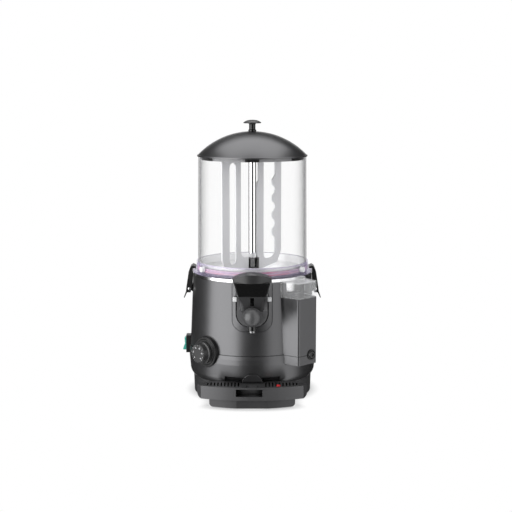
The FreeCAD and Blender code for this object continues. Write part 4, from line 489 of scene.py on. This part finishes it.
def finishMaterial(name, look):
    # one opaque finish: a shared surface group, softened and slightly worn edges, fine relief
    material, tree, shader = startMaterial(name)
    surface = placeGroup(tree, look["group"], look["surface"])
    edge = placeGroup(tree, "edge", {"Radius": look["edgeRadius"]})
    worn = mixColour(tree, mathNode(tree, "MULTIPLY", edge.outputs["Edge"], look["wear"]),
                     surface.outputs["Colour"], look["wornColour"])
    tree.links.new(worn, shader.inputs["Base Color"])
    tree.links.new(surface.outputs["Roughness"], shader.inputs["Roughness"])
    bump = addBump(tree, shader, surface.outputs["Height"], look["relief"], look["reliefDepth"])
    tree.links.new(edge.outputs["Normal"], bump.inputs["Normal"])
    setInputs(shader, look["shader"])
    return material


def satinLook(level, cloud, roughLow, roughHigh, grain=1500.0, relief=0.2, metallic=0.0, worn=None,
              paintedShadeReach=0.007, paintedCreviceShade=0.25):
    return {
        "group": "skin",
        "surface": {"Colour": grey(level, 0.03), "Cloud colour": grey(cloud, 0.03),
                    "Grain scale": grain, "Grain height": 0.5,
                    "Painted shade reach": paintedShadeReach, "Painted crevice shade": paintedCreviceShade,
                    "Roughness low": roughLow, "Roughness high": roughHigh},
        "edgeRadius": 0.0007, "wear": 0.5, "wornColour": grey(worn or level * 2.2),
        "relief": relief, "reliefDepth": 0.00012,
        "shader": {"Metallic": metallic},
    }


def glossLook(level, roughLow, roughHigh):
    return {
        "group": "gloss",
        "surface": {"Colour": grey(level, 0.02), "Dust colour": grey(0.12), "Dust": 0.12,
                    "Roughness low": roughLow, "Roughness high": roughHigh},
        "edgeRadius": 0.0006, "wear": 0.35, "wornColour": grey(level * 2.5 + 0.02),
        "relief": 0.08, "reliefDepth": 0.0002,
        "shader": {"Metallic": 0.0},
    }


def steelLook(level, streak, roughLow, roughHigh, lines=1600.0, metallic=1.0):
    return {
        "group": "steel",
        "surface": {"Colour": grey(level, 0.01), "Streak colour": grey(streak),
                    "Line scale": lines, "Roughness low": roughLow, "Roughness high": roughHigh},
        "edgeRadius": 0.0004, "wear": 0.3, "wornColour": grey(min(level * 1.15, 0.95)),
        "relief": 0.1, "reliefDepth": 0.0001,
        "shader": {"Metallic": metallic},
    }


finishes = {
    "bodySatin": satinLook(0.112, 0.122, 0.29, 0.34, relief=0.1, metallic=0.9),
    "lidSatin": satinLook(0.13, 0.14, 0.3, 0.34, relief=0.06, metallic=0.9),
    # the tray's painted shade reaches far and goes nearly black, darkening its grip pocket and
    # slots
    "baseSatin": satinLook(0.092, 0.104, 0.42, 0.5, relief=0.14, metallic=0.75,
                           paintedShadeReach=0.016, paintedCreviceShade=0.06),
    "pedestalSatin": satinLook(0.066, 0.076, 0.46, 0.54, relief=0.14, metallic=0.75),
    "trimSatin": satinLook(0.008, 0.012, 0.28, 0.36),
    "coverSatin": satinLook(0.052, 0.062, 0.3, 0.38, relief=0.12, metallic=0.5),
    # the cap's light edge colour is partly wear and partly a painted highlight along its lower lip
    "capSatin": satinLook(0.018, 0.025, 0.36, 0.44, relief=0.12, worn=0.16),
    "leverSatin": satinLook(0.115, 0.13, 0.36, 0.44, relief=0.12, metallic=0.3),
    "ballSatin": satinLook(0.08, 0.092, 0.32, 0.4, relief=0.08, metallic=0.4),
    "hiddenPlastic": satinLook(0.025, 0.03, 0.45, 0.55),
    "blackGloss": glossLook(0.005, 0.05, 0.1),
    "knobGloss": glossLook(0.03, 0.25, 0.34),
    "rimSteel": steelLook(0.92, 0.85, 0.12, 0.22),
    "panSteel": steelLook(0.97, 0.92, 0.35, 0.45, metallic=0.25),
    "spoutSteel": steelLook(0.3, 0.22, 0.34, 0.44),
    "darkChrome": steelLook(0.3, 0.22, 0.1, 0.18),
    "brightChrome": steelLook(0.9, 0.86, 0.04, 0.09, 900.0),
    "plainSteel": steelLook(0.55, 0.45, 0.25, 0.4),
    "heaterSteel": steelLook(0.28, 0.2, 0.35, 0.5),
    "rubber": satinLook(0.02, 0.026, 0.7, 0.85, 900.0),
    "paddlePlastic": satinLook(0.7, 0.74, 0.4, 0.5, worn=0.85),
    # a lighter plastic for the lid ring, painting light onto it where the lid shades it
    "ringLightenedPlastic": satinLook(0.93, 0.96, 0.35, 0.45, worn=0.95),
    "gearPlastic": satinLook(0.75, 0.8, 0.4, 0.5, worn=0.85),
    "motorPaint": satinLook(0.16, 0.19, 0.4, 0.5),
    "markWhite": satinLook(0.92, 0.95, 0.4, 0.5, worn=0.95),
}
materials = {name: finishMaterial(name, look) for name, look in finishes.items()}


clearPlastic = {
    "index": 1.49,
    "paintedHighlightColour": (0.9, 0.9, 0.91, 1),
    "dust": 0.03,
    "dustColour": (0.9, 0.9, 0.92, 1),
    "breakScale": 90.0,
}


def mouldLines(tree, lines):
    # level rings where the wall is thick and takes the tint: (height, half width, strength) each
    split = tree.nodes.new("ShaderNodeSeparateXYZ")
    tree.links.new(objectVector(tree), split.inputs[0])
    total = 0.0
    for height, halfWidth, strength in lines:
        away = mathNode(tree, "ABSOLUTE", mathNode(tree, "SUBTRACT", split.outputs["Z"], height))
        line = mapRange(tree, away, halfWidth, 0.0, 0.0, strength)
        total = mathNode(tree, "MAXIMUM", total, line)
    return total


def clearMaterial(name, look):
    # see-through moulded plastic: thin where it faces you, denser towards its edges, with a painted
    # near-white highlight on its edges
    material, tree, shader = startMaterial(name)
    surface = placeGroup(tree, "gloss", look["surface"])
    tree.links.new(surface.outputs["Roughness"], shader.inputs["Roughness"])
    rim = tree.nodes.new("ShaderNodeLayerWeight")
    rim.inputs["Blend"].default_value = 0.5
    slant = mathNode(tree, "POWER", mapRange(tree, rim.outputs["Facing"], look["rimStart"], 1.0),
                     look["rimPower"])
    alpha = mapRange(tree, slant, 0, 1, look["clearAlpha"], look["rimAlpha"])
    edge = placeGroup(tree, "edge", {"Radius": look["edgeReach"],
                                     "Break-up scale": clearPlastic["breakScale"]})
    # painted highlight: along the edges the colour goes near-white and the plastic turns less clear
    lit = mathNode(tree, "MULTIPLY", edge.outputs["Edge"], look["paintedEdgeHighlight"])
    alpha = mathNode(tree, "MAXIMUM", alpha, lit)
    if look["lines"]:
        alpha = mathNode(tree, "MAXIMUM", alpha, mouldLines(tree, look["lines"]))
    tree.links.new(alpha, shader.inputs["Alpha"])
    tree.links.new(mixColour(tree, lit, surface.outputs["Colour"], clearPlastic["paintedHighlightColour"]),
                   shader.inputs["Base Color"])
    shader.inputs["IOR"].default_value = clearPlastic["index"]
    return material


def clearLook(colour, clearAlpha, rimAlpha, rimStart, rough=(0.03, 0.08), lines=(),
              rimPower=1.0, paintedEdgeHighlight=0.2, edgeReach=0.0009):
    return {
        "surface": {"Colour": colour, "Dust colour": clearPlastic["dustColour"],
                    "Dust": clearPlastic["dust"],
                    "Roughness low": rough[0], "Roughness high": rough[1]},
        "clearAlpha": clearAlpha, "rimAlpha": rimAlpha, "rimStart": rimStart, "lines": lines,
        "rimPower": rimPower, "paintedEdgeHighlight": paintedEdgeHighlight, "edgeReach": edgeReach,
    }


collarLow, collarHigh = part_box("tank_base_collar")
collarLines = [(collarHigh.z - 0.001, 0.0014, 0.5), (collarLow.z + 0.004, 0.0014, 0.3),
               ((collarLow.z + collarHigh.z) / 2, 0.0012, 0.4)]
tankLines = [(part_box("tank_cylinder")[0].z + 0.0015, 0.0012, 0.4)]
clearFinishes = {
    "tankClear": clearLook((0.2, 0.2, 0.205, 1), 0.012, 0.8, 0.3, lines=tankLines, rimPower=2.2),
    "collarLilac": clearLook((0.5, 0.44, 0.66, 1), 0.05, 0.65, 0.4, lines=collarLines,
                             rimPower=1.7),
    "trimClear": clearLook((0.4, 0.405, 0.41, 1), 0.12, 0.5, 0.3, (0.12, 0.2), paintedEdgeHighlight=0.15),
    "frostClear": clearLook((0.86, 0.87, 0.88, 1), 0.82, 0.95, 0.3, (0.3, 0.4)),
    "boxClear": clearLook((0.85, 0.86, 0.87, 1), 0.11, 0.8, 0.4, (0.04, 0.09), rimPower=2.0,
                          paintedEdgeHighlight=0.9, edgeReach=0.0016),
}
for name, look in clearFinishes.items():
    materials[name] = clearMaterial(name, look)


lens = {"colour": (0.06, 0.32, 0.26, 1), "deep": (0.02, 0.17, 0.14, 1), "ribScale": 260,
        "ribRange": (0.2, 0.8), "ribShare": 0.5,
        "shader": {"Emission Strength": 0.2, "Roughness": 0.18, "Coat Weight": 0.4}}


def lensMaterial():
    # lit green plastic with fine level ribs inside
    material, tree, shader = startMaterial("greenLens")
    ribs = tree.nodes.new("ShaderNodeTexWave")
    ribs.bands_direction = "Z"
    ribs.inputs["Scale"].default_value = lens["ribScale"]
    tree.links.new(objectVector(tree), ribs.inputs["Vector"])
    depth = mapRange(tree, ribs.outputs["Fac"], *lens["ribRange"], 0, lens["ribShare"])
    colour = mixColour(tree, depth, lens["colour"], lens["deep"])
    tree.links.new(colour, shader.inputs["Base Color"])
    tree.links.new(colour, shader.inputs["Emission Color"])
    setInputs(shader, lens["shader"])
    return material


seal = {"pink": (0.6, 0.14, 0.24, 1), "pale": (0.78, 0.62, 0.73, 1), "alpha": (0.6, 0.95),
        "streakStretch": (14, 14, 420), "patchScale": 16, "patchRange": (0.45, 0.6),
        "grainScale": 900, "relief": 0.15, "reliefDepth": 0.0002, "roughness": 0.45}


def sealMaterial():
    # silicone that shows pink where it is pressed and pale where it isn't
    material, tree, shader = startMaterial("sealRed")
    vector = objectVector(tree)
    streaks = addNoise(tree, 1, 3, objectVector(tree, seal["streakStretch"]))
    both = mathNode(tree, "ADD", addNoise(tree, seal["patchScale"], 2, vector), streaks)
    patches = mapRange(tree, mathNode(tree, "MULTIPLY", both, 0.5), *seal["patchRange"])
    tree.links.new(mapRange(tree, patches, 0, 1, *seal["alpha"]), shader.inputs["Alpha"])
    tree.links.new(mixColour(tree, patches, seal["pale"], seal["pink"]),
                   shader.inputs["Base Color"])
    addBump(tree, shader, addNoise(tree, seal["grainScale"], 2, vector), seal["relief"],
            seal["reliefDepth"])
    shader.inputs["Roughness"].default_value = seal["roughness"]
    return material


floatPaint = {"red": (0.62, 0.02, 0.025, 1), "deep": (0.4, 0.01, 0.015, 1), "cloudScale": 220,
              "cloudRange": (0.4, 0.6), "roughness": 0.3}


def floatMaterial():
    material, tree, shader = startMaterial("floatRed")
    cloud = mapRange(tree, addNoise(tree, floatPaint["cloudScale"], 2, objectVector(tree)),
                     *floatPaint["cloudRange"])
    tree.links.new(mixColour(tree, cloud, floatPaint["red"], floatPaint["deep"]),
                   shader.inputs["Base Color"])
    shader.inputs["Roughness"].default_value = floatPaint["roughness"]
    return material


materials["greenLens"] = lensMaterial()
materials["sealRed"] = sealMaterial()
materials["floatRed"] = floatMaterial()
print("materials ready:", len(materials))


# each node of the frame gets its finish

nodeFinish = {
    "bodySatin": ["lower_shell", "upper_shell"],
    "leverSatin": ["tap_lever"],
    "pedestalSatin": ["base_pedestal"],
    "baseSatin": ["drip_tray", "tray_grid"],
    "lidSatin": ["lid_dome"],
    "trimSatin": ["latch_left", "latch_right", "latch_brackets", "thermostat_bezel", "switch_body",
                  "paddle_guide", "lid_lugs", "mains_gland", "bottom_cover"],
    "coverSatin": ["tap_cover"],
    "capSatin": ["tap_cap"],
    "ballSatin": ["ball_knob"],
    "blackGloss": ["tap_plate", "tap_nozzle", "lid_knob_stem", "drain_plug", "tap_piston",
                   "tap_valve_body"],
    "knobGloss": ["lid_knob", "thermostat_knob", "paddle_hub"],
    "rimSteel": ["bath_bowl"],
    "panSteel": ["tank_floor_pan"],
    "brightChrome": ["central_column", "tap_pivot_pin", "latch_pins"],
    "darkChrome": ["column_ferrule"],
    "spoutSteel": ["spout_tip"],
    "plainSteel": ["deck_screws", "chassis_plate", "drive_shaft", "motor_pinion", "column_nut",
                   "tap_spring", "latch_springs"],
    "heaterSteel": ["heating_element"],
    "rubber": ["rubber_feet"],
    "paddlePlastic": ["mixing_paddle"],
    "ringLightenedPlastic": ["lid_ring"],
    "gearPlastic": ["drive_gear", "shaft_bushes"],
    "motorPaint": ["gear_motor", "thermostat_body"],
    "hiddenPlastic": ["drain_tube"],
    "tankClear": ["tank_cylinder"],
    "collarLilac": ["tank_base_collar"],
    "trimClear": ["tap_cheeks"],
    "frostClear": ["tap_pivot_bosses", "collar_pegs"],
    "boxClear": ["filler_cover"],
    "sealRed": ["tank_seal"],
    "greenLens": ["switch_rocker"],
    "floatRed": ["tray_float"],
}

dressed = set()
for finish, members in nodeFinish.items():
    for member in members:
        item = nodes[member]
        item.data.materials.clear()
        item.data.materials.append(materials[finish])
        dressed.add(member)
missing = sorted(set(nodes) - dressed)
if missing:
    raise RuntimeError("no finish for " + ", ".join(missing))
print("frame dressed:", len(dressed), "nodes")


# small parts that repeat: each tree puts one shape at every point of a mesh

def geometryTree(name, inputs):
    tree = bpy.data.node_groups.new(name, "GeometryNodeTree")
    tree.interface.new_socket("Geometry", in_out="INPUT", socket_type="NodeSocketGeometry")
    for label, kind, value in inputs:
        tree.interface.new_socket(label, in_out="INPUT", socket_type=kind).default_value = value
    tree.interface.new_socket("Material", in_out="INPUT", socket_type="NodeSocketMaterial")
    tree.interface.new_socket("Geometry", in_out="OUTPUT", socket_type="NodeSocketGeometry")
    return tree, tree.nodes.new("NodeGroupInput"), tree.nodes.new("NodeGroupOutput")


def namedVector(tree, label):
    node = tree.nodes.new("GeometryNodeInputNamedAttribute")
    node.data_type = "FLOAT_VECTOR"
    node.inputs["Name"].default_value = label
    return node.outputs["Attribute"]


def placeAndClose(tree, given, out, shape):
    # stands the shape on each point, its Z along "facing" and its X along "along"
    stand = tree.nodes.new("FunctionNodeAlignRotationToVector")
    stand.axis = "Z"
    tree.links.new(namedVector(tree, "facing"), stand.inputs["Vector"])
    swing = tree.nodes.new("FunctionNodeAlignRotationToVector")
    swing.axis = "X"
    swing.pivot_axis = "Z"
    tree.links.new(stand.outputs["Rotation"], swing.inputs["Rotation"])
    tree.links.new(namedVector(tree, "along"), swing.inputs["Vector"])
    copies = tree.nodes.new("GeometryNodeInstanceOnPoints")
    tree.links.new(given.outputs["Geometry"], copies.inputs["Points"])
    tree.links.new(shape, copies.inputs["Instance"])
    tree.links.new(swing.outputs["Rotation"], copies.inputs["Rotation"])
    real = tree.nodes.new("GeometryNodeRealizeInstances")
    tree.links.new(copies.outputs["Instances"], real.inputs["Geometry"])
    paint = tree.nodes.new("GeometryNodeSetMaterial")
    tree.links.new(real.outputs["Geometry"], paint.inputs["Geometry"])
    tree.links.new(given.outputs["Material"], paint.inputs["Material"])
    tree.links.new(paint.outputs["Geometry"], out.inputs["Geometry"])
    return tree


def joinVector(tree, *parts):
    node = tree.nodes.new("ShaderNodeCombineXYZ")
    for socket, part in zip(node.inputs, parts):
        feed(tree, socket, part)
    return node.outputs["Vector"]


def smoothed(tree, geometry):
    node = tree.nodes.new("GeometryNodeSetShadeSmooth")
    tree.links.new(geometry, node.inputs["Geometry"])
    return node.outputs["Geometry"]


def boxShape(tree, length, width, height):
    cube = tree.nodes.new("GeometryNodeMeshCube")
    tree.links.new(joinVector(tree, length, width, height), cube.inputs["Size"])
    return cube.outputs["Mesh"]


def tickTree():
    tree, given, out = geometryTree("tickMarks", [
        ("Length", "NodeSocketFloat", 0.002), ("Width", "NodeSocketFloat", 0.0005),
        ("Height", "NodeSocketFloat", 0.0004)])
    shape = boxShape(tree, given.outputs["Length"], given.outputs["Width"], given.outputs["Height"])
    return placeAndClose(tree, given, out, shape)


def domeTree():
    tree, given, out = geometryTree("domeHeads", [
        ("Radius", "NodeSocketFloat", 0.003), ("Rise", "NodeSocketFloat", 0.001),
        ("Segments", "NodeSocketInt", 20)])
    ball = tree.nodes.new("GeometryNodeMeshUVSphere")
    tree.links.new(given.outputs["Segments"], ball.inputs["Segments"])
    setInputs(ball, {"Rings": 12, "Radius": 1})
    squash = tree.nodes.new("GeometryNodeTransform")
    tree.links.new(ball.outputs["Mesh"], squash.inputs["Geometry"])
    tree.links.new(joinVector(tree, given.outputs["Radius"], given.outputs["Radius"],
                              given.outputs["Rise"]), squash.inputs["Scale"])
    return placeAndClose(tree, given, out, smoothed(tree, squash.outputs["Geometry"]))


def screwTree():
    tree, given, out = geometryTree("crossScrews", [
        ("Radius", "NodeSocketFloat", 0.0035), ("Head", "NodeSocketFloat", 0.0012),
        ("Taper", "NodeSocketFloat", 0.82), ("Slot span", "NodeSocketFloat", 1.15),
        ("Slot width", "NodeSocketFloat", 0.001), ("Slot depth", "NodeSocketFloat", 0.0009)])
    head = tree.nodes.new("GeometryNodeMeshCone")
    head.inputs["Vertices"].default_value = 28
    tree.links.new(mathNode(tree, "MULTIPLY", given.outputs["Radius"], given.outputs["Taper"]),
                   head.inputs["Radius Top"])
    tree.links.new(given.outputs["Radius"], head.inputs["Radius Bottom"])
    tree.links.new(given.outputs["Head"], head.inputs["Depth"])
    span = mathNode(tree, "MULTIPLY", given.outputs["Radius"], given.outputs["Slot span"])
    deep = mathNode(tree, "MULTIPLY", given.outputs["Slot depth"], 2)
    cross = tree.nodes.new("GeometryNodeMeshBoolean")
    cross.operation = "DIFFERENCE"
    tree.links.new(head.outputs["Mesh"], cross.inputs["Mesh 1"])
    for pair in ((span, given.outputs["Slot width"]), (given.outputs["Slot width"], span)):
        lift = tree.nodes.new("GeometryNodeTransform")
        tree.links.new(boxShape(tree, pair[0], pair[1], deep), lift.inputs["Geometry"])
        tree.links.new(joinVector(tree, 0, 0, given.outputs["Head"]), lift.inputs["Translation"])
        tree.links.new(lift.outputs["Geometry"], cross.inputs["Mesh 2"])
    return placeAndClose(tree, given, out, cross.outputs["Mesh"])


def coilTree():
    tree, given, out = geometryTree("coilSprings", [
        ("Radius", "NodeSocketFloat", 0.004), ("Wire", "NodeSocketFloat", 0.0005),
        ("Height", "NodeSocketFloat", 0.03), ("Turns", "NodeSocketFloat", 8.0)])
    spiral = tree.nodes.new("GeometryNodeCurveSpiral")
    spiral.inputs["Resolution"].default_value = 24
    for label, source in (("Rotations", "Turns"), ("Start Radius", "Radius"),
                          ("End Radius", "Radius"), ("Height", "Height")):
        tree.links.new(given.outputs[source], spiral.inputs[label])
    section = tree.nodes.new("GeometryNodeCurvePrimitiveCircle")
    section.inputs["Resolution"].default_value = 10
    tree.links.new(given.outputs["Wire"], section.inputs["Radius"])
    coil = tree.nodes.new("GeometryNodeCurveToMesh")
    tree.links.new(spiral.outputs["Curve"], coil.inputs["Curve"])
    tree.links.new(section.outputs["Curve"], coil.inputs["Profile Curve"])
    coil.inputs["Fill Caps"].default_value = True
    return placeAndClose(tree, given, out, smoothed(tree, coil.outputs["Mesh"]))


trees = {"tick": tickTree(), "dome": domeTree(), "screw": screwTree(), "coil": coilTree()}


def addObject(name, mesh):
    item = bpy.data.objects.new(name, mesh)
    scene.collection.objects.link(item)
    return item


def meshFrom(item):
    # what the object's modifiers or text make, as one plain mesh
    depsgraph = bpy.context.evaluated_depsgraph_get()
    return bpy.data.meshes.new_from_object(item.evaluated_get(depsgraph), depsgraph=depsgraph)


def fromTree(name, treeName, places, values, material, body):
    # places: (point, facing, along) for each copy
    mesh = bpy.data.meshes.new(name)
    mesh.from_pydata([place[0] for place in places], [], [])
    for index, label in ((1, "facing"), (2, "along")):
        layer = mesh.attributes.new(label, "FLOAT_VECTOR", "POINT")
        for spot, place in enumerate(places):
            layer.data[spot].vector = place[index]
    item = addObject(name, mesh)
    tree = trees[treeName]
    modifier = item.modifiers.new("shape", "NODES")
    modifier.node_group = tree
    for socket in tree.interface.items_tree:
        if socket.in_out == "INPUT" and socket.name in values:
            modifier[socket.identifier] = values[socket.name]
        elif socket.in_out == "INPUT" and socket.name == "Material":
            modifier[socket.identifier] = materials[material]
    made = meshFrom(item)
    item.modifiers.remove(modifier)
    item.data = made
    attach(item, body)
    print("made", name, len(made.polygons), "faces")
    return item


def outward(azimuth):
    turn = math.radians(azimuth)
    return Vector((math.sin(turn), -math.cos(turn), 0))


farOut = 0.3  # where lines towards the part start, well clear of it


def surfaceAt(node, origin, direction):
    # where a line from outside meets a node, and which way the surface faces there
    tree = BVHTree.FromPolygons([v.co for v in nodes[node].data.vertices],
                                [p.vertices for p in nodes[node].data.polygons])
    point, normal, _, _ = tree.ray_cast(Vector(origin), Vector(direction))
    if point is None:
        raise RuntimeError("nothing to stand on at " + node)
    return point, normal


def setText(words, size, depth):
    curve = bpy.data.curves.new("words", "FONT")
    curve.body = words
    curve.size = size
    curve.extrude = depth
    curve.align_x = "CENTER"
    curve.align_y = "CENTER"
    holder = addObject("words", curve)
    mesh = meshFrom(holder)
    bpy.data.objects.remove(holder)
    return mesh


def standOn(point, normal):
    # matrix that lays a flat shape on a surface, its Y upwards
    z = normal.normalized()
    x = up.cross(z).normalized()
    y = z.cross(x)
    return Matrix(((x.x, y.x, z.x, point.x), (x.y, y.y, z.y, point.y),
                   (x.z, y.z, z.z, point.z), (0, 0, 0, 1)))


def joinMeshes(name, parts, material, body):
    joined = bmesh.new()
    for mesh, matrix in parts:
        mesh.transform(matrix)
        joined.from_mesh(mesh)
        bpy.data.meshes.remove(mesh)
    mesh = bpy.data.meshes.new(name)
    joined.to_mesh(mesh)
    joined.free()
    mesh.materials.clear()
    mesh.materials.append(materials[material])
    item = addObject(name, mesh)
    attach(item, body)
    print("made", name, len(mesh.polygons), "faces")


dialMarks = {
    "azimuth": -45,
    "labels": ["0", "30", "45", "60", "75", "90"],
    "firstAngle": -135,  # degrees from the top, clockwise
    "lastAngle": 135,
    "labelRadius": 0.0128,
    "textSize": 0.0046,
    "textDepth": 0.0001,
    "tickRadius": 0.0168,
    "ticks": 11,
    "tick": {"Length": 0.0014, "Width": 0.0005, "Height": 0.0003},
}


def buildDialMarks():
    facing = outward(dialMarks["azimuth"])
    right = up.cross(facing)
    height = centreOf("thermostat_knob").z
    centre, _ = surfaceAt("thermostat_knob", Vector((0, axisY, height)) + facing * farOut, -facing)
    sweep = dialMarks["lastAngle"] - dialMarks["firstAngle"]

    def around(share, radius):
        angle = math.radians(dialMarks["firstAngle"] + sweep * share)
        ray = right * math.sin(angle) + up * math.cos(angle)
        return centre + ray * radius, ray

    places = []
    for index in range(dialMarks["ticks"]):
        point, ray = around(index / (dialMarks["ticks"] - 1), dialMarks["tickRadius"])
        places.append((point, facing, ray))
    fromTree("dialTicks", "tick", places, dialMarks["tick"], "markWhite", "dial")
    words = []
    for index, label in enumerate(dialMarks["labels"]):
        point, _ = around(index / (len(dialMarks["labels"]) - 1), dialMarks["labelRadius"])
        words.append((setText(label, dialMarks["textSize"], dialMarks["textDepth"]),
                      standOn(point, facing)))
    joinMeshes("dialNumbers", words, "markWhite", "dial")


lidKnob = {
    "outline": [  # (distance from the axis, depth under the top), in millimetres
        (0, 0), (4, 0.15), (8, 0.65), (11.5, 1.5), (14.5, 2.7), (17, 4.2), (18.5, 5.5), (19, 6.2),
        (18.9, 6.7), (18.3, 7.1), (16.5, 7.3), (12, 7.4), (9, 7.7), (7.4, 8.4), (6.9, 9.6)],
    "studRadius": 0.0024,
    "steps": 72,
    "weld": 0.000005,
    "sharp": 40,  # degrees
}


def finishMesh(name, shape, finish):
    bmesh.ops.recalc_face_normals(shape, faces=shape.faces)
    mesh = bpy.data.meshes.new(name)
    shape.to_mesh(mesh)
    shape.free()
    mesh.materials.append(materials[finish])
    print("made", name, len(mesh.polygons), "faces")
    return mesh


def buildLidKnob():
    # a shallow mushroom, spun about the tank's axis, with its stud below
    low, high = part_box("lid_knob")
    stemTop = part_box("lid_knob_stem")[1].z
    stud = lidKnob["studRadius"]
    outline = [(radius * millimetre, high.z - depth * millimetre)
               for radius, depth in lidKnob["outline"]]
    outline += [(outline[-1][0], stemTop), (stud, stemTop), (stud, low.z), (0, low.z)]
    shape = bmesh.new()
    verts = [shape.verts.new((radius, axisY, height)) for radius, height in outline]
    edges = [shape.edges.new(pair) for pair in zip(verts, verts[1:])]
    bmesh.ops.spin(shape, geom=verts + edges, cent=(0, axisY, 0), axis=(0, 0, 1),
                   angle=2 * math.pi, steps=lidKnob["steps"])
    bmesh.ops.remove_doubles(shape, verts=shape.verts, dist=lidKnob["weld"])
    mesh = finishMesh("mushroomKnob", shape, "knobGloss")
    mesh.shade_smooth()
    mesh.set_sharp_from_angle(angle=math.radians(lidKnob["sharp"]))
    item = addObject("mushroomKnob", mesh)
    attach(item, "lid")
    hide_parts("lid_knob")


softRocker = {
    "edge": 0.0007,
    "segments": 3,
    "weld": 0.000002,
    "flat": 2,  # degrees under which neighbouring faces are one
    "sharp": 20,  # degrees over which an edge is rounded
    "frontShare": 0.65,  # of its depth, from the front; the axle lies behind
}


def buildRocker():
    # the same rocker with rounded edges; its axle keeps its shape
    low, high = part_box("switch_rocker")
    shape = bmesh.new()
    shape.from_mesh(nodes["switch_rocker"].data)
    bmesh.ops.remove_doubles(shape, verts=shape.verts, dist=softRocker["weld"])
    bmesh.ops.dissolve_limit(shape, angle_limit=math.radians(softRocker["flat"]),
                             verts=shape.verts, edges=shape.edges)
    front = low.x + (high.x - low.x) * softRocker["frontShare"]
    sharp = math.radians(softRocker["sharp"])
    edges = [edge for edge in shape.edges
             if len(edge.link_faces) == 2 and edge.calc_face_angle(0) > sharp
             and max(vert.co.x for vert in edge.verts) < front]
    bmesh.ops.bevel(shape, geom=edges, offset=softRocker["edge"], offset_type="OFFSET",
                    segments=softRocker["segments"], profile=0.5, affect="EDGES",
                    clamp_overlap=True)
    item = addObject("softRocker", finishMesh("softRocker", shape, "greenLens"))
    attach(item, "rocker")
    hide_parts("switch_rocker")


rockerMarks = {"azimuth": -90, "rise": 0.0066, "textSize": 0.0058, "textDepth": 0.00015}


def buildRockerMarks():
    facing = outward(rockerMarks["azimuth"])
    height = centreOf("switch_rocker").z
    words = []
    for label, side in (("I", 1), ("O", -1)):
        start = Vector((0, axisY, height + side * rockerMarks["rise"])) + facing * farOut
        point, normal = surfaceAt("switch_rocker", start, -facing)
        words.append((setText(label, rockerMarks["textSize"], rockerMarks["textDepth"]),
                      standOn(point, normal)))
    joinMeshes("rockerLetters", words, "markWhite", "rocker")


pinHeads = {"Radius": 0.0031, "Rise": 0.0012}


def buildPinHeads():
    # domed ends on the latch pins
    low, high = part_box("latch_pins")
    height = (low.z + high.z) / 2
    across = high.x - (high.z - low.z) / 2
    places = [((side * across, end, height), (0, facing, 0), (1, 0, 0))
              for side in (-1, 1) for end, facing in ((low.y, -1), (high.y, 1))]
    fromTree("latchPinHeads", "dome", places, pinHeads, "brightChrome", "machine")


coverScrews = {
    "spots": [(-0.07, -0.07), (0.07, -0.07), (-0.07, 0.07), (0.07, 0.07)],
    "screw": {"Radius": 0.0036, "Head": 0.0012, "Slot width": 0.001, "Slot depth": 0.0009},
}


def buildCoverScrews():
    places = []
    for across, back in coverScrews["spots"]:
        point, _ = surfaceAt("bottom_cover", (across, axisY + back, -farOut), up)
        places.append((point, (0, 0, -1), (1, 0, 0)))
    fromTree("coverScrews", "screw", places, coverScrews["screw"], "plainSteel", "machine")


glandRibs = {"count": 20, "inset": 0.0006, "fromEnd": 0.004, "clear": 0.05,
             "rib": {"Length": 0.0042, "Width": 0.0009, "Height": 0.0012}}


def buildGlandRibs():
    # grip ribs round the mains gland at the back
    low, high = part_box("mains_gland")
    middle = (low + high) / 2
    middle.y = high.y - glandRibs["fromEnd"]
    places = []
    for index in range(glandRibs["count"]):
        angle = 2 * math.pi * index / glandRibs["count"]
        ray = Vector((math.cos(angle), 0, math.sin(angle)))
        point, _ = surfaceAt("mains_gland", middle + ray * glandRibs["clear"], -ray)
        places.append((point - ray * glandRibs["inset"], ray, (0, 1, 0)))
    fromTree("glandRibs", "tick", places, glandRibs["rib"], "trimSatin", "machine")


tapSpring = {"wire": 0.0008, "turns": 12.0, "endGap": 0.0001}


def buildTapSpring():
    # a coil of steel wire in the tap spring's place, standing on its lower end and fixed to the
    # machine
    low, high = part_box("tap_spring")
    middle = (low + high) / 2
    wire = tapSpring["wire"] + tapSpring["endGap"]
    height = high.z - low.z - 2 * wire
    sizes = {"Radius": (high.x - low.x) / 2 - wire, "Wire": tapSpring["wire"],
             "Height": height, "Turns": tapSpring["turns"]}
    foot = (middle.x, middle.y, low.z + wire)
    spring = fromTree("tapSpring", "coil", [(foot, (0, 0, 1), (1, 0, 0))], sizes, "plainSteel",
                      "machine")
    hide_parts("tap_spring")
    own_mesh(spring)


for build in (buildDialMarks, buildLidKnob, buildRocker, buildRockerMarks, buildPinHeads,
              buildCoverScrews, buildGlandRibs, buildTapSpring):
    build()
print("pieces ready")
